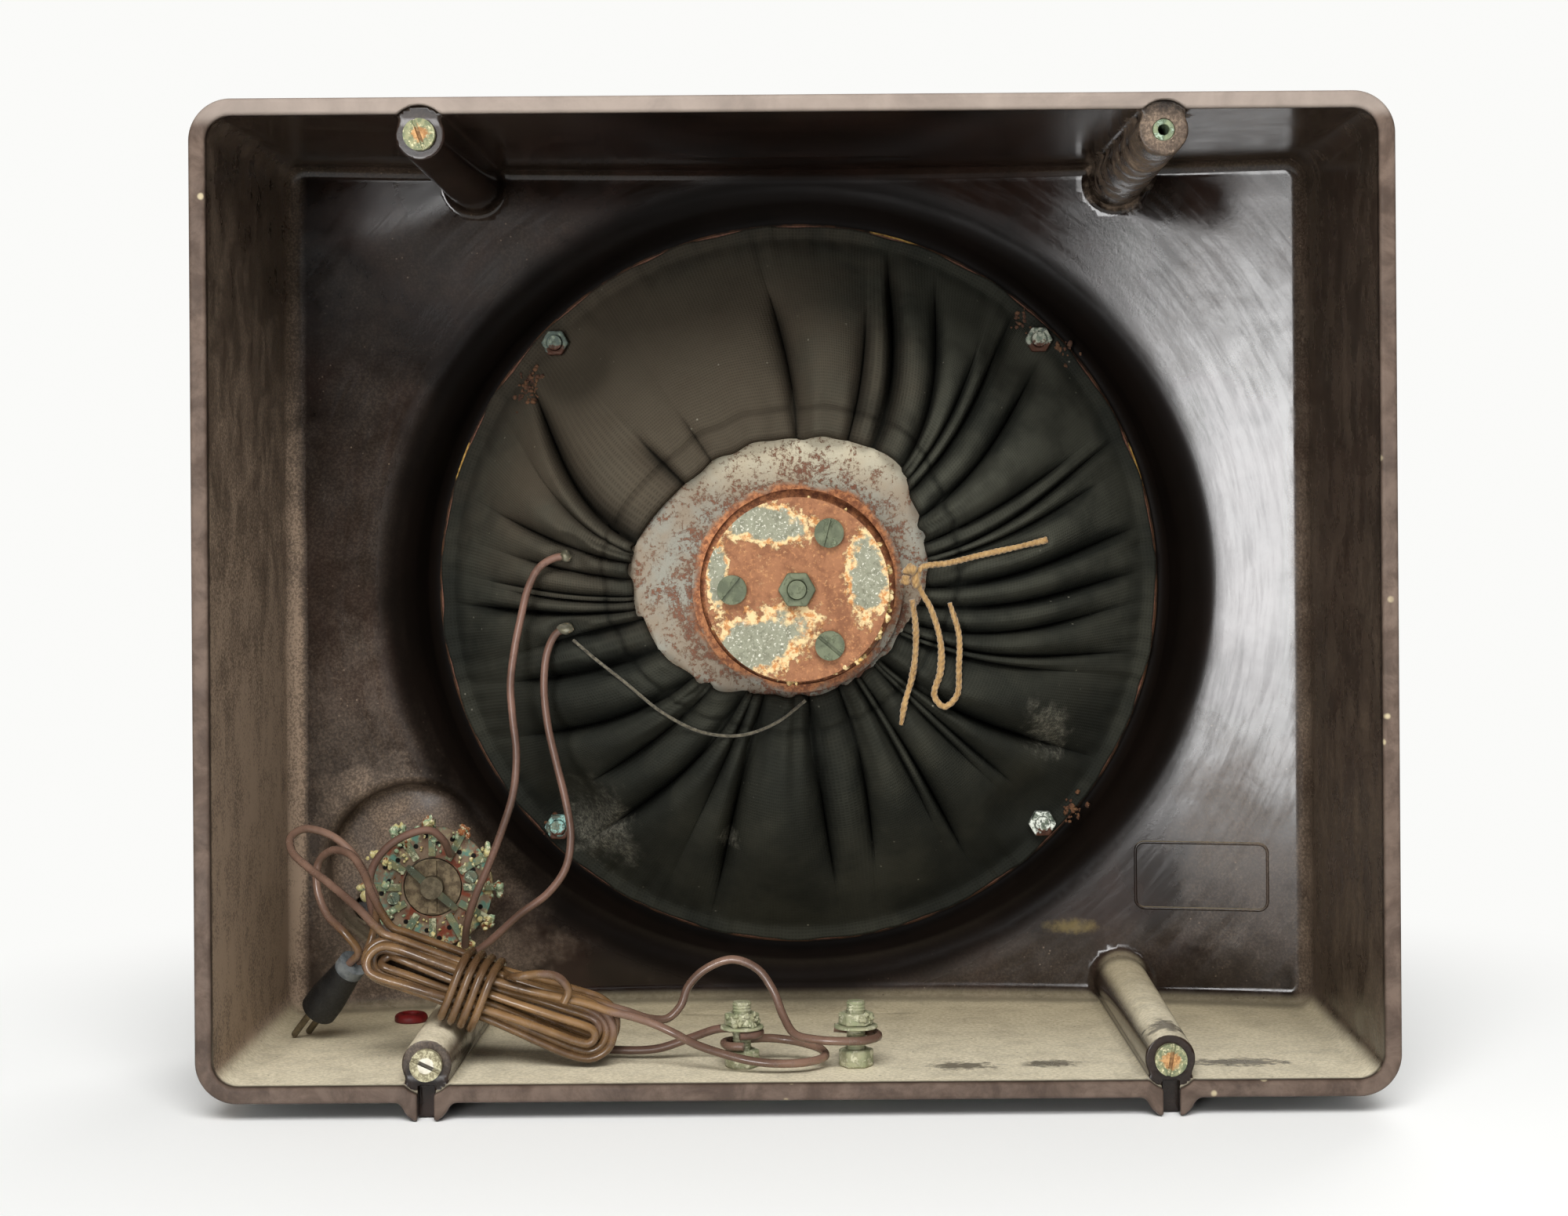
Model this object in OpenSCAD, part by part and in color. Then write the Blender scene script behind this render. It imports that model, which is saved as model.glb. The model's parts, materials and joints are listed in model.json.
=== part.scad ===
// Wired relay loudspeaker in a moulded cabinet, with its back cover off.
// Right is +X as seen from the open back, +Y runs from the back to the front, +Z is up.
// Depths are counted forward from the plane of the rear rim.

/* [Cabinet] */
// Width over the side walls
cabinet_w = 300; // [288:2:330]
// Height of the shell without its feet
cabinet_h = 250; // [246:2:280]
// Depth of the side walls from the rear rim to the inside of the front panel
side_depth = 100; // [94:1:112]
// How far the front panel bows forward at mid width
bow = 18; // [12:1:26]
// Thickness of the four walls
wall_t = 4.2; // [3.4:0.1:5]
// Thickness of the front panel
panel_t = 4.5; // [3.5:0.1:6]
// Outer radius of the four corners
corner_r = 10.5; // [8:0.5:14]

/* [Feet] */
// Radius of the half-round runners under the shell
foot_r = 6.3; // [5.6:0.1:7]
// Height of the runners below the shell
foot_h = 4.5; // [4:0.1:5.4]
// How far the runner's axis lies above the underside of the shell
foot_sink = 1.2; // [0.8:0.1:1.6]
// Length of the runners
foot_len = 106; // [80:1:108]
// Width of the slot in the rear end of each runner
slot_w = 4.2; // [3:0.1:5]
// Depth of that slot
slot_len = 5; // [3:0.5:8]

/* [Back cover fixings] */
// Distance between the left and the right bosses
boss_gap = 185.4; // [176:0.2:196]
// Radius of a boss
boss_r = 6.2; // [5.6:0.1:6.8]
// Height of a boss axis inside the top or bottom wall
boss_inset = 5; // [4.6:0.1:5.4]
// How far the boss ends lie inside the rear rim
boss_setback = 2.6; // [2.2:0.1:4]
// Room round a boss end where it breaks into the rim
scoop = 1.1; // [0.8:0.1:1.6]
// Radius of a brass insert
insert_r = 2.7; // [2.4:0.1:3.4]
// Radius of the threaded hole in an insert
insert_hole_r = 1.4; // [1.2:0.1:1.8]
// Length of an insert
insert_len = 12; // [8:1:16]
// Radius of a cover screw's head
cover_head_r = 4; // [3.4:0.1:4.6]
// Height of a cover screw's head
cover_head_h = 1.8; // [1.2:0.1:2]
// Length of a cover screw below its head
cover_screw_len = 10; // [6:0.5:11]

/* [Grille] */
// Radius of the sound opening in the front
grille_r = 86; // [76:1:90]
// Height of a grille bar
bar_h = 6; // [4:0.5:8]
// Distance from one grille bar to the next
bar_pitch = 17; // [14:0.5:22]
// Thickness of the grille cloth
cloth_t = 0.6; // [0.4:0.1:0.8]
// Wall thickness round the two dishes
drum_wall = 4.5; // [3.5:0.1:6]

/* [Loudspeaker] */
// Radius of the loudspeaker's flange
speaker_r = 104.5; // [100:0.5:106]
// Room between the flange and the floor edge of its dish
dish_gap = 3.5; // [2:0.5:5]
// How much wider the dish is at its mouth
dish_flare = 8; // [4:0.5:8]
// Depth of the dish below the middle of the front panel
dish_step = 4; // [2:0.5:8]
// Thickness of the card gasket
gasket_t = 2.5; // [2.2:0.1:3.5]
// Thickness of the basket's sheet steel
steel_t = 1.2; // [1:0.1:1.6]
// Depth of the basket behind its flange
basket_depth = 33; // [31:0.5:36]
// Radius of the basket's flat neck
neck_r = 47; // [44:0.5:50]
// Outer radius of the collar on the neck
collar_r = 29.5; // [28.5:0.1:30.5]
// Height of the collar
collar_h = 3; // [2:0.1:4]
// Distance of a fixing bolt from the flange's edge
bolt_inset = 4.8; // [4.6:0.1:5.4]
// Radius of a fixing bolt
bolt_r = 2.1; // [1.8:0.1:2.3]
// Width of a fixing nut across its flats
nut_af = 7; // [6.6:0.1:7.4]
// Height of a fixing nut
nut_h = 3.6; // [3:0.1:4.4]
// Radius of a fixing bolt's head
bolt_head_r = 4; // [3.4:0.1:4.6]
// Height of a fixing bolt's head
bolt_head_h = 2.2; // [1.6:0.1:2.8]

/* [Magnet] */
// Radius of the magnet pot
pot_r = 25; // [24:0.1:26]
// Length of the magnet pot
pot_len = 20; // [19:0.5:24]
// Thickness of the pot's wall
pot_wall = 3; // [2.6:0.1:3.2]
// Thickness of the pot's back
pot_back = 6; // [5.5:0.5:8]
// Thickness of the front pole plate
plate_t = 5; // [4:0.5:6]
// Radius of the magnet
magnet_r = 11; // [10:0.1:11.6]
// Radius of the pole piece
pole_r = 12; // [11.8:0.05:12.1]
// Radial gap between the pole piece and the pole plate
coil_gap = 1.9; // [1.8:0.05:2.2]
// Radius of the circle of pot screws
pot_screw_circle = 17.6; // [17:0.1:18]
// Radius of a pot screw's head
pot_head_r = 4; // [3.4:0.1:4.4]
// Height of a pot screw's head
pot_head_h = 2; // [1.6:0.1:2.6]
// Radius of the bolt through the magnet
core_bolt_r = 2.5; // [2:0.1:2.8]
// Width of the centre nut across its flats
core_nut_af = 9; // [8:0.5:10]

/* [Cone] */
// Width of the surround between the basket's edge and the cone
surround_w = 11.66; // [10:0.02:15]
// Thickness of the paper
paper_t = 0.8; // [0.6:0.1:1]
// Depth of the cone from edge to neck
cone_depth = 22; // [20:0.5:24]
// Thickness of the coil former's wall
former_t = 0.25; // [0.2:0.05:0.3]
// Thickness of the winding on the former
coil_t = 0.6; // [0.4:0.05:0.65]
// Length of the winding
coil_len = 8; // [6:0.5:9]
// Room between the cone and what holds it
cone_gap = 0.5; // [0.4:0.05:0.8]

/* [Dust bag] */
// Thickness of the bag's cloth
bag_t = 1; // [0.8:0.1:1.2]
// How far the bag stands off the straight line from rim to neck
bag_bulge = 10; // [8:0.5:12]
// Height of the folds
fold_h = 3.2; // [2:0.1:3.6]
// Number of folds round the bag
folds = 28; // [20:1:28]

/* [Selector switch] */
// Radius of the small dish
knob_dish_r = 24; // [22:0.5:25]
// Distance from the small dish's axis to the inside of the side wall
knob_dish_edge = 33.8; // [32:0.2:36]
// Height of the small dish's axis above the floor inside
knob_dish_rise = 39.8; // [38:0.2:42]
// Depth of the small dish at its inner edge
knob_dish_step = 1.5; // [1:0.1:3]
// Sideways offset of the switch from the small dish's axis
switch_dx = 8; // [7:0.2:8.4]
// Height offset of the switch from the small dish's axis
switch_dz = -3.5; // [-4:0.1:-2]
// Radius of the switch spindle
shaft_r = 3.2; // [2.8:0.1:3.4]
// Radius of the threaded bush
bush_r = 4.75; // [4.4:0.05:5]
// Radius of the index plate
index_r = 13.8; // [13.4:0.1:14.2]
// Radius of the wafer
wafer_r = 17; // [16.5:0.1:18]
// Thickness of the wafer
wafer_t = 1.6; // [1.2:0.1:2]
// Distance from the front panel to the wafer
wafer_standoff = 19; // [17:0.5:22]
// Radius of the rotor in the wafer
rotor_r = 8; // [7.6:0.1:8.4]
// Number of contacts on the wafer
contacts = 12; // [8:2:12]
// Radius of the knob
knob_r = 13; // [11:0.5:15]
// Height of the knob
knob_h = 15; // [14:0.5:18]
// Radius of the dial plate under the knob
dial_r = 17.5; // [15:0.5:18]
// Radius of the spare hole beside the switch
spare_hole_r = 3.8; // [3:0.1:4]

/* [Terminals] */
// Distance between the two terminal studs
stud_gap = 29.2; // [26:0.2:32]
// Depth of the studs from the rear rim
stud_depth = 21; // [20:0.5:22]
// Radius of a stud
stud_r = 2.2; // [2:0.1:2.3]
// Height of a stud above the floor inside
stud_h = 16.7; // [15.4:0.1:18]
// Height of the lower nut
lower_nut_h = 4.6; // [4:0.1:4.8]
// Width of the terminal nuts across their flats
stud_nut_af = 8; // [7.6:0.1:8.4]
// Height of the upper nut
upper_nut_h = 3.2; // [2.6:0.1:3.6]
// Radius of the terminal washers
washer_r = 5.6; // [5:0.1:6]
// Thickness of the terminal washers
washer_t = 0.8; // [0.6:0.1:1]
// Room for the wire ends between the lower nut and the washer
wire_room = 5.2; // [5.2:0.1:5.6]

/* [Leads] */
// Diameter of the insulated wire
wire_d = 2.2; // [1.6:0.1:2.3]
// Diameter of the drawstring
string_d = 1.8; // [1.4:0.1:2]
// Diameter of the loose thread
thread_d = 0.9; // [0.6:0.1:1]
// Length of the plug's body
plug_len = 20; // [16:0.5:20]
// Radius of the plug's body at the pins
plug_r = 5; // [4.6:0.1:5.4]
// Radius of a plug pin
pin_r = 0.9; // [0.7:0.1:1]
// Length of a plug pin
pin_len = 11; // [8:0.5:11.5]
// Outer radius of the grommet
grommet_r = 4.6; // [4.2:0.1:5]
// Radius of the grommet's hole
grommet_hole_r = 2.4; // [2:0.1:2.6]

/* [Hidden] */
$fn = 96;

// Clearances: a fixed pin in its hole, a turning shaft in its bush, bodies that move past each other
fit = 0.1;
run = 0.05;
clear = 0.3;
overshoot = 1;
screw_slot = 1;

in_w = cabinet_w - 2 * wall_t;
in_h = cabinet_h - 2 * wall_t;
floor_z = foot_h + wall_t;
mid_z = foot_h + cabinet_h / 2;

// Bowed front panel, a slice of an upright cylinder
bow_fn = 480;
bow_r = (in_w * in_w / 4 + bow * bow) / (2 * bow);
bow_centre = side_depth + bow - bow_r;
function panel_depth(x) = bow_centre + sqrt(bow_r * bow_r - x * x);

// Stack of depths through the loudspeaker, from its dish to the rear
dish_depth = side_depth + bow + dish_step;
dish_r = speaker_r + dish_gap;
dish_mouth_r = dish_r + dish_flare;
front_depth = dish_depth + panel_t;
flange_front = dish_depth - gasket_t;
flange_rear = flange_front - steel_t;
neck_rear = flange_rear - basket_depth;
neck_front = neck_rear + steel_t;
plate_rear = neck_rear - plate_t;
pot_rear = plate_rear - pot_len;
bolt_circle_r = speaker_r - bolt_inset;
hex_r = 1 / cos(30);
basket_top_r = bolt_circle_r - nut_af / 2 * hex_r - 4;
neck_hole_r = pot_r - 5;
collar_wall = 2.2;

// Cone and coil
cone_front = flange_front - 0.9;
former_r = pole_r + 0.5;
cone_r = basket_top_r - surround_w;
cone_neck = cone_front - cone_depth;

// Small dish and the switch in it
knob_dish_x = -(in_w / 2 - knob_dish_edge);
knob_floor = panel_depth(-knob_dish_x - knob_dish_r) + knob_dish_step;
knob_face = knob_floor + panel_t;
knob_dish_z = floor_z + knob_dish_rise;
switch_x = knob_dish_x + switch_dx;
switch_z = knob_dish_z + switch_dz;
dial_room = 0.2;
index_t = 1.5;
dial_t = 0.6;
switch_nut_h = 2.4;
switch_nut_af = 13;
bush_end = knob_face + dial_t + switch_nut_h + 1;
knob_rear = knob_face + dial_t + 0.6;
knob_front = knob_rear + knob_h;
wafer_front = knob_floor - wafer_standoff;
wafer_rear = wafer_front - wafer_t;
tie_circle = index_r - 2.4;
tie_angle = 180 / contacts;
tie_r = 1.2;
tie_head_r = 1.8;
tie_head_h = 1.4;
tie_slot_turn = 60;
spacer_r = 2.1;
wheel_r = 7;
wheel_t = 3;
notch_r = 1.5;
wheel_front = knob_floor - index_t - 1.5;
spare_hole = [-14, -12.5];

boss_x = boss_gap / 2;
boss_low = floor_z + boss_inset;
boss_high = foot_h + cabinet_h - wall_t - boss_inset;
rear_y = -knob_front / 2;

function unit(v) = v / norm(v);
function mix(a, b, t) = a + (b - a) * t;
function smooth(t) = t * t * (3 - 2 * t);

// Everything is drawn in depths and then set back so that the middle of the depth lies at Y = 0
module placed() translate([0, rear_y, 0]) children();
module at(x, z) placed() translate([x, 0, z]) children();
module rod(r, d0, d1) translate([0, d0, 0]) rotate([-90, 0, 0]) cylinder(r = r, h = d1 - d0);
module turned() rotate([-90, 0, 0]) rotate_extrude() children();
module ring(r0, r1, d0, d1) turned() translate([r0, d0]) square([r1 - r0, d1 - d0]);
module hex(af, d0, d1) translate([0, d0, 0]) rotate([-90, 0, 0])
    cylinder(r = af / 2 * hex_r, h = d1 - d0, $fn = 6);
module around(r, start, n) for (i = [0 : n - 1]) {
    a = start + i * 360 / n;
    translate([r * cos(a), 0, r * sin(a)]) children();
}
module slotted_head(r, h, d0, turn) difference() {
    rod(r, d0 - h, d0);
    rotate([0, turn, 0]) translate([-r - overshoot, d0 - h - overshoot, -screw_slot / 2])
        cube([2 * (r + overshoot), overshoot + h / 2, screw_slot]);
}
module bolt_places() around(bolt_circle_r, 45, 4) children();
module bosses() for (x = [-boss_x, boss_x], z = [boss_low, boss_high]) translate([x, 0, z]) children();

module rounded_outline(w, h, r) {
    square([w - 2 * r, h], center = true);
    square([w, h - 2 * r], center = true);
    for (x = [-1, 1], z = [-1, 1]) translate([x * (w / 2 - r), z * (h / 2 - r)]) circle(r);
}
module tray(w, h, r, d0, d1) translate([0, d1, mid_z]) rotate([90, 0, 0])
    linear_extrude(d1 - d0) rounded_outline(w, h, r);
module bowed(r) translate([0, bow_centre, 0]) cylinder(r = r, h = cabinet_h + 2 * foot_h, $fn = bow_fn);

module shell_block() {
    intersection() {
        tray(cabinet_w, cabinet_h, corner_r, 0, front_depth + overshoot);
        bowed(bow_r + panel_t);
    }
    translate([0, 0, mid_z]) turned() polygon([[0, side_depth], [dish_mouth_r + drum_wall, side_depth],
        [dish_r + drum_wall, front_depth], [0, front_depth]]);
    translate([knob_dish_x, 0, knob_dish_z]) rod(knob_dish_r + drum_wall, side_depth, knob_face);
    for (x = [-boss_x, boss_x]) intersection() {
        translate([x, 0, foot_h + foot_sink]) rod(foot_r, 0, foot_len);
        translate([x - foot_r, 0, 0]) cube([2 * foot_r, foot_len, 2 * foot_r + foot_h]);
    }
}
module shell_room() {
    intersection() {
        tray(in_w, in_h, corner_r - wall_t, -overshoot, front_depth);
        bowed(bow_r);
    }
    translate([0, 0, mid_z]) turned() polygon([[0, side_depth], [dish_mouth_r, side_depth],
        [dish_r, dish_depth], [0, dish_depth]]);
    translate([knob_dish_x, 0, knob_dish_z]) rod(knob_dish_r, side_depth, knob_floor);
    translate([0, 0, mid_z]) rod(grille_r, dish_depth - overshoot, front_depth + overshoot);
}
module floor_hole(r) translate([0, 0, foot_h - overshoot]) cylinder(r = r, h = wall_t + 2 * overshoot);
module grille_bars() intersection() {
    rod(grille_r + overshoot, dish_depth, front_depth);
    for (z = [-floor(grille_r / bar_pitch) : floor(grille_r / bar_pitch)])
        translate([-grille_r - 2 * overshoot, dish_depth, z * bar_pitch - bar_h / 2])
            cube([2 * grille_r + 4 * overshoot, panel_t, bar_h]);
}
module cabinet() color([0.24, 0.18, 0.15]) placed() difference() {
    union() {
        difference() {
            shell_block();
            shell_room();
        }
        translate([0, 0, mid_z]) grille_bars();
        bosses() rod(boss_r, boss_setback, panel_depth(boss_x) + panel_t / 2);
    }
    bosses() rod(boss_r + scoop, -overshoot, boss_setback);
    bosses() rod(insert_r + fit, -overshoot, boss_setback + insert_len);
    for (x = [-boss_x, boss_x]) translate([x - slot_w / 2, -overshoot, -overshoot])
        cube([slot_w, slot_len + overshoot, boss_low - boss_r + 2 * overshoot]);
    translate([0, 0, mid_z]) bolt_places()
        rod(bolt_r + fit, dish_depth - overshoot, front_depth + overshoot);
    translate([switch_x, 0, switch_z]) rod(bush_r + fit, knob_floor - overshoot, knob_face + overshoot);
    translate([switch_x, 0, switch_z]) rod(max(dial_r, knob_r) + dial_room, knob_face, front_depth + overshoot);
    translate([knob_dish_x + spare_hole[0], 0, knob_dish_z + spare_hole[1]])
        rod(spare_hole_r, knob_floor - overshoot, knob_face + overshoot);
    stud_places() floor_hole(stud_r + fit);
    translate(grommet_at) floor_hole(grommet_r - grommet_lip + fit);
}

module cover_inserts() color([0.55, 0.55, 0.35]) placed() bosses()
    ring(insert_hole_r, insert_r, boss_setback, boss_setback + insert_len);
// Three screws are left in place: side, height, turn of the slot
cover_screws_left = [[-1, boss_high, 70], [-1, boss_low, 25], [1, boss_low, 100]];
module cover_screws() color([0.6, 0.62, 0.5]) placed() for (s = cover_screws_left)
    translate([s[0] * boss_x, 0, s[1]]) {
        slotted_head(cover_head_r, cover_head_h, boss_setback, s[2]);
        rod(insert_hole_r - run, boss_setback, boss_setback + cover_screw_len);
    }

gasket_in_r = speaker_r - 8.5;
gasket_out_r = speaker_r + 0.6;
module grille_cloth() color([0.45, 0.36, 0.25]) at(0, mid_z)
    rod(gasket_in_r - fit, dish_depth - cloth_t, dish_depth);
module speaker_gasket() color([0.72, 0.6, 0.3]) at(0, mid_z) difference() {
    ring(gasket_in_r, gasket_out_r, flange_front, dish_depth);
    bolt_places() rod(bolt_r + fit, flange_front - overshoot, dish_depth + overshoot);
}
// Windows in three sides of the basket, with solid sheet left above and below them
window_w = 48;
rib_room = 8;
module speaker_basket() color([0.5, 0.5, 0.48]) at(0, mid_z) difference() {
    turned() polygon([[speaker_r, flange_front], [speaker_r, flange_rear], [basket_top_r, flange_rear],
        [neck_r, neck_rear], [collar_r, neck_rear], [collar_r, neck_rear - collar_h],
        [collar_r - collar_wall, neck_rear - collar_h], [collar_r - collar_wall, neck_rear],
        [neck_hole_r, neck_rear], [neck_hole_r, neck_front], [neck_r - 0.6, neck_front],
        [basket_top_r - 1.4, flange_front]]);
    bolt_places() rod(bolt_r + fit, flange_rear - overshoot, flange_front + overshoot);
    for (a = [180 : 90 : 360]) rotate([0, a, 0]) translate([neck_r + rib_room, neck_front, -window_w / 2])
        cube([basket_top_r - neck_r - 2 * rib_room, basket_depth, window_w]);
    translate([tag_x, 0, 0]) rod(rivet_r + fit, neck_rear, flange_front);
}
bolt_end = 1.4;
module slotted_front_head() difference() {
    rod(bolt_head_r, front_depth, front_depth + bolt_head_h);
    translate([-bolt_head_r - overshoot, front_depth + bolt_head_h / 2, -screw_slot / 2])
        cube([2 * (bolt_head_r + overshoot), bolt_head_h, screw_slot]);
}
module speaker_bolts() color([0.45, 0.5, 0.45]) at(0, mid_z) bolt_places() {
    slotted_front_head();
    rod(bolt_r, flange_rear - bag_t - nut_h - bolt_end, front_depth);
}
module speaker_nuts() color([0.55, 0.62, 0.55]) at(0, mid_z) bolt_places() difference() {
    hex(nut_af, flange_rear - bag_t - nut_h, flange_rear - bag_t);
    rod(bolt_r + run, flange_rear - bag_t - nut_h - overshoot, flange_rear);
}

module magnet_pot() color([0.62, 0.4, 0.25]) at(0, mid_z) difference() {
    rod(pot_r, pot_rear, plate_rear);
    rod(pot_r - pot_wall, pot_rear + pot_back, plate_rear + overshoot);
    rod(core_bolt_r + fit, pot_rear - overshoot, plate_rear);
    around(pot_screw_circle, pot_screw_start, 3)
        rod(pot_screw_r + fit, pot_rear - overshoot, pot_rear + pot_screw_len + fit);
}
pot_screw_r = 1.8;
pot_screw_len = 4.5;
pot_screw_start = 60;
pole_sink = 3;
magnet_front = neck_rear - pole_sink;
pot_screw_turns = [105, 130, 40];
core_bolt_end = 1;
module magnet() color([0.35, 0.35, 0.36]) at(0, mid_z)
    ring(core_bolt_r + fit, magnet_r, pot_rear + pot_back, magnet_front);
module pole_plate() color([0.5, 0.42, 0.35]) at(0, mid_z)
    ring(pole_r + coil_gap, pot_r, plate_rear, neck_rear);
module pole_piece() color([0.5, 0.45, 0.4]) at(0, mid_z)
    ring(core_bolt_r + fit, pole_r, magnet_front, neck_front);
module pot_screws() color([0.55, 0.6, 0.5]) at(0, mid_z) for (i = [0 : 2]) {
    a = pot_screw_start + i * 120;
    translate([pot_screw_circle * cos(a), 0, pot_screw_circle * sin(a)]) {
        slotted_head(pot_head_r, pot_head_h, pot_rear, pot_screw_turns[i]);
        rod(pot_screw_r, pot_rear, pot_rear + pot_screw_len);
    }
}
core_nut_h = 2.6;
module core_bolt() color([0.5, 0.52, 0.42]) at(0, mid_z)
    rod(core_bolt_r, pot_rear - core_nut_h - core_bolt_end, neck_front - clear);
module core_nut() color([0.55, 0.6, 0.5]) at(0, mid_z) difference() {
    hex(core_nut_af, pot_rear - core_nut_h, pot_rear);
    rod(core_bolt_r + run, pot_rear - core_nut_h - overshoot, pot_rear + overshoot);
}

module cone() color([0.2, 0.18, 0.16]) at(0, mid_z) turned() polygon([[cone_r, cone_front],
    [cone_r, cone_front - paper_t], [former_r + former_t + fit, cone_neck - paper_t],
    [former_r + former_t + fit, cone_neck]]);
module dust_cap() color([0.25, 0.22, 0.2]) at(0, mid_z)
    rod(former_r - fit, cone_neck, cone_neck + paper_t);
former_end = 0.5;
coil_rear = plate_rear + plate_t / 2 - coil_len / 2;
module coil_former() color([0.75, 0.62, 0.4]) at(0, mid_z)
    ring(former_r, former_r + former_t, coil_rear - former_end, cone_neck + paper_t);
module voice_coil() color([0.7, 0.4, 0.2]) at(0, mid_z)
    ring(former_r + former_t, former_r + former_t + coil_t, coil_rear, coil_rear + coil_len);
module surround() color([0.3, 0.28, 0.25]) at(0, mid_z) turned() polygon([[speaker_r - 9, flange_front],
    [speaker_r - 9, flange_front + 0.7], [basket_top_r - 2.4, flange_front + 0.7],
    [cone_r + cone_gap, cone_front + 0.1], [cone_r + cone_gap, cone_front - 0.6],
    [basket_top_r - 2.6, flange_front]]);
spider_t = 0.6;
spider_rise = 3.4;
spider_front = neck_front + spider_rise;
spider_foot = [neck_hole_r + 3, neck_hole_r + 7];
spider_hole_r = former_r + former_t + cone_gap;
module spider() color([0.6, 0.5, 0.3]) at(0, mid_z) turned() polygon([[spider_foot[1], neck_front],
    [spider_foot[0], neck_front], [spider_foot[0] - spider_t, spider_front - spider_t],
    [spider_hole_r, spider_front - spider_t], [spider_hole_r, spider_front], [spider_foot[0], spider_front],
    [spider_foot[0] + spider_t, neck_front + spider_t], [spider_foot[1], neck_front + spider_t]]);

// Tag strip riveted to the left side of the basket, with two tags that come through the bag
tag_x = -65;
tag_rise = [9, -11.5];
tag_lift = 6;
tag_rear = neck_rear - tag_lift + basket_depth * (-tag_x - neck_r) / (basket_top_r - neck_r);
tag_len = 8.5;
tag_w = 3.2;
tag_t = 0.8;
strip_t = 1.5;
strip_w = 6;
strip_z = [-15, 13];
rivet_r = 1.5;
module tag_strip() color([0.45, 0.28, 0.15]) at(tag_x, mid_z) {
    translate([-strip_w / 2, tag_rear, strip_z[0]]) cube([strip_w, strip_t, strip_z[1] - strip_z[0]]);
    rod(rivet_r, tag_rear + strip_t / 2, neck_rear + basket_depth * 0.48);
}
module solder_tags() color([0.65, 0.66, 0.6]) at(tag_x, mid_z) for (z = tag_rise)
    translate([-tag_w / 2, tag_rear - tag_len, z - tag_t / 2]) cube([tag_w, tag_len, tag_t]);

// Dust bag: a gathered sheet from the flange to the neck, with radial folds
bag_rings = 9;
bag_cols = 2 * folds;
bag_outer_r = bolt_circle_r - nut_af / 2 * hex_r - 2 * clear;
bag_off = 1.6;
bag_start = flange_rear - bag_t / 2 - clear;
bag_end = neck_rear - bag_t / 2 - bag_off;
function neck_open(a) = collar_r + 9.5 + 5 * sin(a) - 2 * cos(a);
function fold_depth(a) = fold_h * (0.7 + 0.3 * sin(7 * a) * sin(3 * a))
    * (1 - 0.55 * pow(max(0, cos(a - 125)), 3));
function bag_point(j, k, side) = let(
    t = j / bag_rings,
    a = k * 360 / bag_cols,
    r = mix(bag_outer_r, neck_open(a), t),
    lift = bag_bulge * sin(180 * t) + fold_depth(a) * (k % 2) * sin(180 * min(1, t + 0.22) * 0.82),
    d = mix(bag_start, bag_end, t) - lift + side * bag_t / 2)
    [r * cos(a), d, r * sin(a)];
function bag_index(s, j, k) = (s * (bag_rings + 1) + j) * bag_cols + k % bag_cols;
module dust_bag() color([0.13, 0.13, 0.12]) at(0, mid_z) polyhedron(
    points = [for (s = [-1, 1], j = [0 : bag_rings], k = [0 : bag_cols - 1]) bag_point(j, k, s)],
    faces = [
        for (j = [0 : bag_rings - 1], k = [0 : bag_cols - 1])
            each let(a = bag_index(0, j, k), b = bag_index(0, j, k + 1),
                c = bag_index(0, j + 1, k), d = bag_index(0, j + 1, k + 1)) [[a, d, b], [a, c, d]],
        for (j = [0 : bag_rings - 1], k = [0 : bag_cols - 1])
            each let(a = bag_index(1, j, k), b = bag_index(1, j, k + 1),
                c = bag_index(1, j + 1, k), d = bag_index(1, j + 1, k + 1)) [[a, b, d], [a, d, c]],
        for (k = [0 : bag_cols - 1]) each let(a = bag_index(0, 0, k), b = bag_index(0, 0, k + 1),
            c = bag_index(1, 0, k), d = bag_index(1, 0, k + 1)) [[a, b, d], [a, d, c]],
        for (k = [0 : bag_cols - 1])
            each let(a = bag_index(0, bag_rings, k), b = bag_index(0, bag_rings, k + 1),
                c = bag_index(1, bag_rings, k), d = bag_index(1, bag_rings, k + 1)) [[a, d, b], [a, c, d]]]);
module bag_rim() color([0.13, 0.13, 0.12]) at(0, mid_z) difference() {
    ring(bag_outer_r + clear, speaker_r - 1, flange_rear - bag_t, flange_rear);
    bolt_places() rod(bolt_r + fit, flange_rear - bag_t - overshoot, flange_rear + overshoot);
}

module tie_places() around(tie_circle, tie_angle, 2) children();
module switch_bush() color([0.6, 0.55, 0.4]) at(switch_x, switch_z) difference() {
    union() {
        rod(index_r, knob_floor - index_t, knob_floor);
        rod(bush_r, knob_floor, bush_end);
    }
    rod(shaft_r + run, knob_floor - index_t - overshoot, bush_end + overshoot);
    tie_places() rod(tie_r + fit, knob_floor - index_t - overshoot, knob_floor + overshoot);
}
module dial_plate() color([0.75, 0.66, 0.42]) at(switch_x, switch_z)
    ring(bush_r + fit, dial_r, knob_face, knob_face + dial_t);
module switch_nut() color([0.7, 0.66, 0.5]) at(switch_x, switch_z) difference() {
    hex(switch_nut_af, knob_face + dial_t, knob_face + dial_t + switch_nut_h);
    rod(bush_r + run, knob_face, bush_end);
}
module index_wheel() color([0.6, 0.55, 0.4]) at(switch_x, switch_z) difference() {
    rod(wheel_r, wheel_front - wheel_t, wheel_front);
    rod(shaft_r + run, wheel_front - wheel_t - overshoot, wheel_front + overshoot);
    around(wheel_r + 0.6, 180 / contacts, contacts)
        rod(notch_r, wheel_front - wheel_t - overshoot, wheel_front + overshoot);
}
spring_w = 10;
spring_t = 0.8;
spring_leg = 1;
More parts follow.
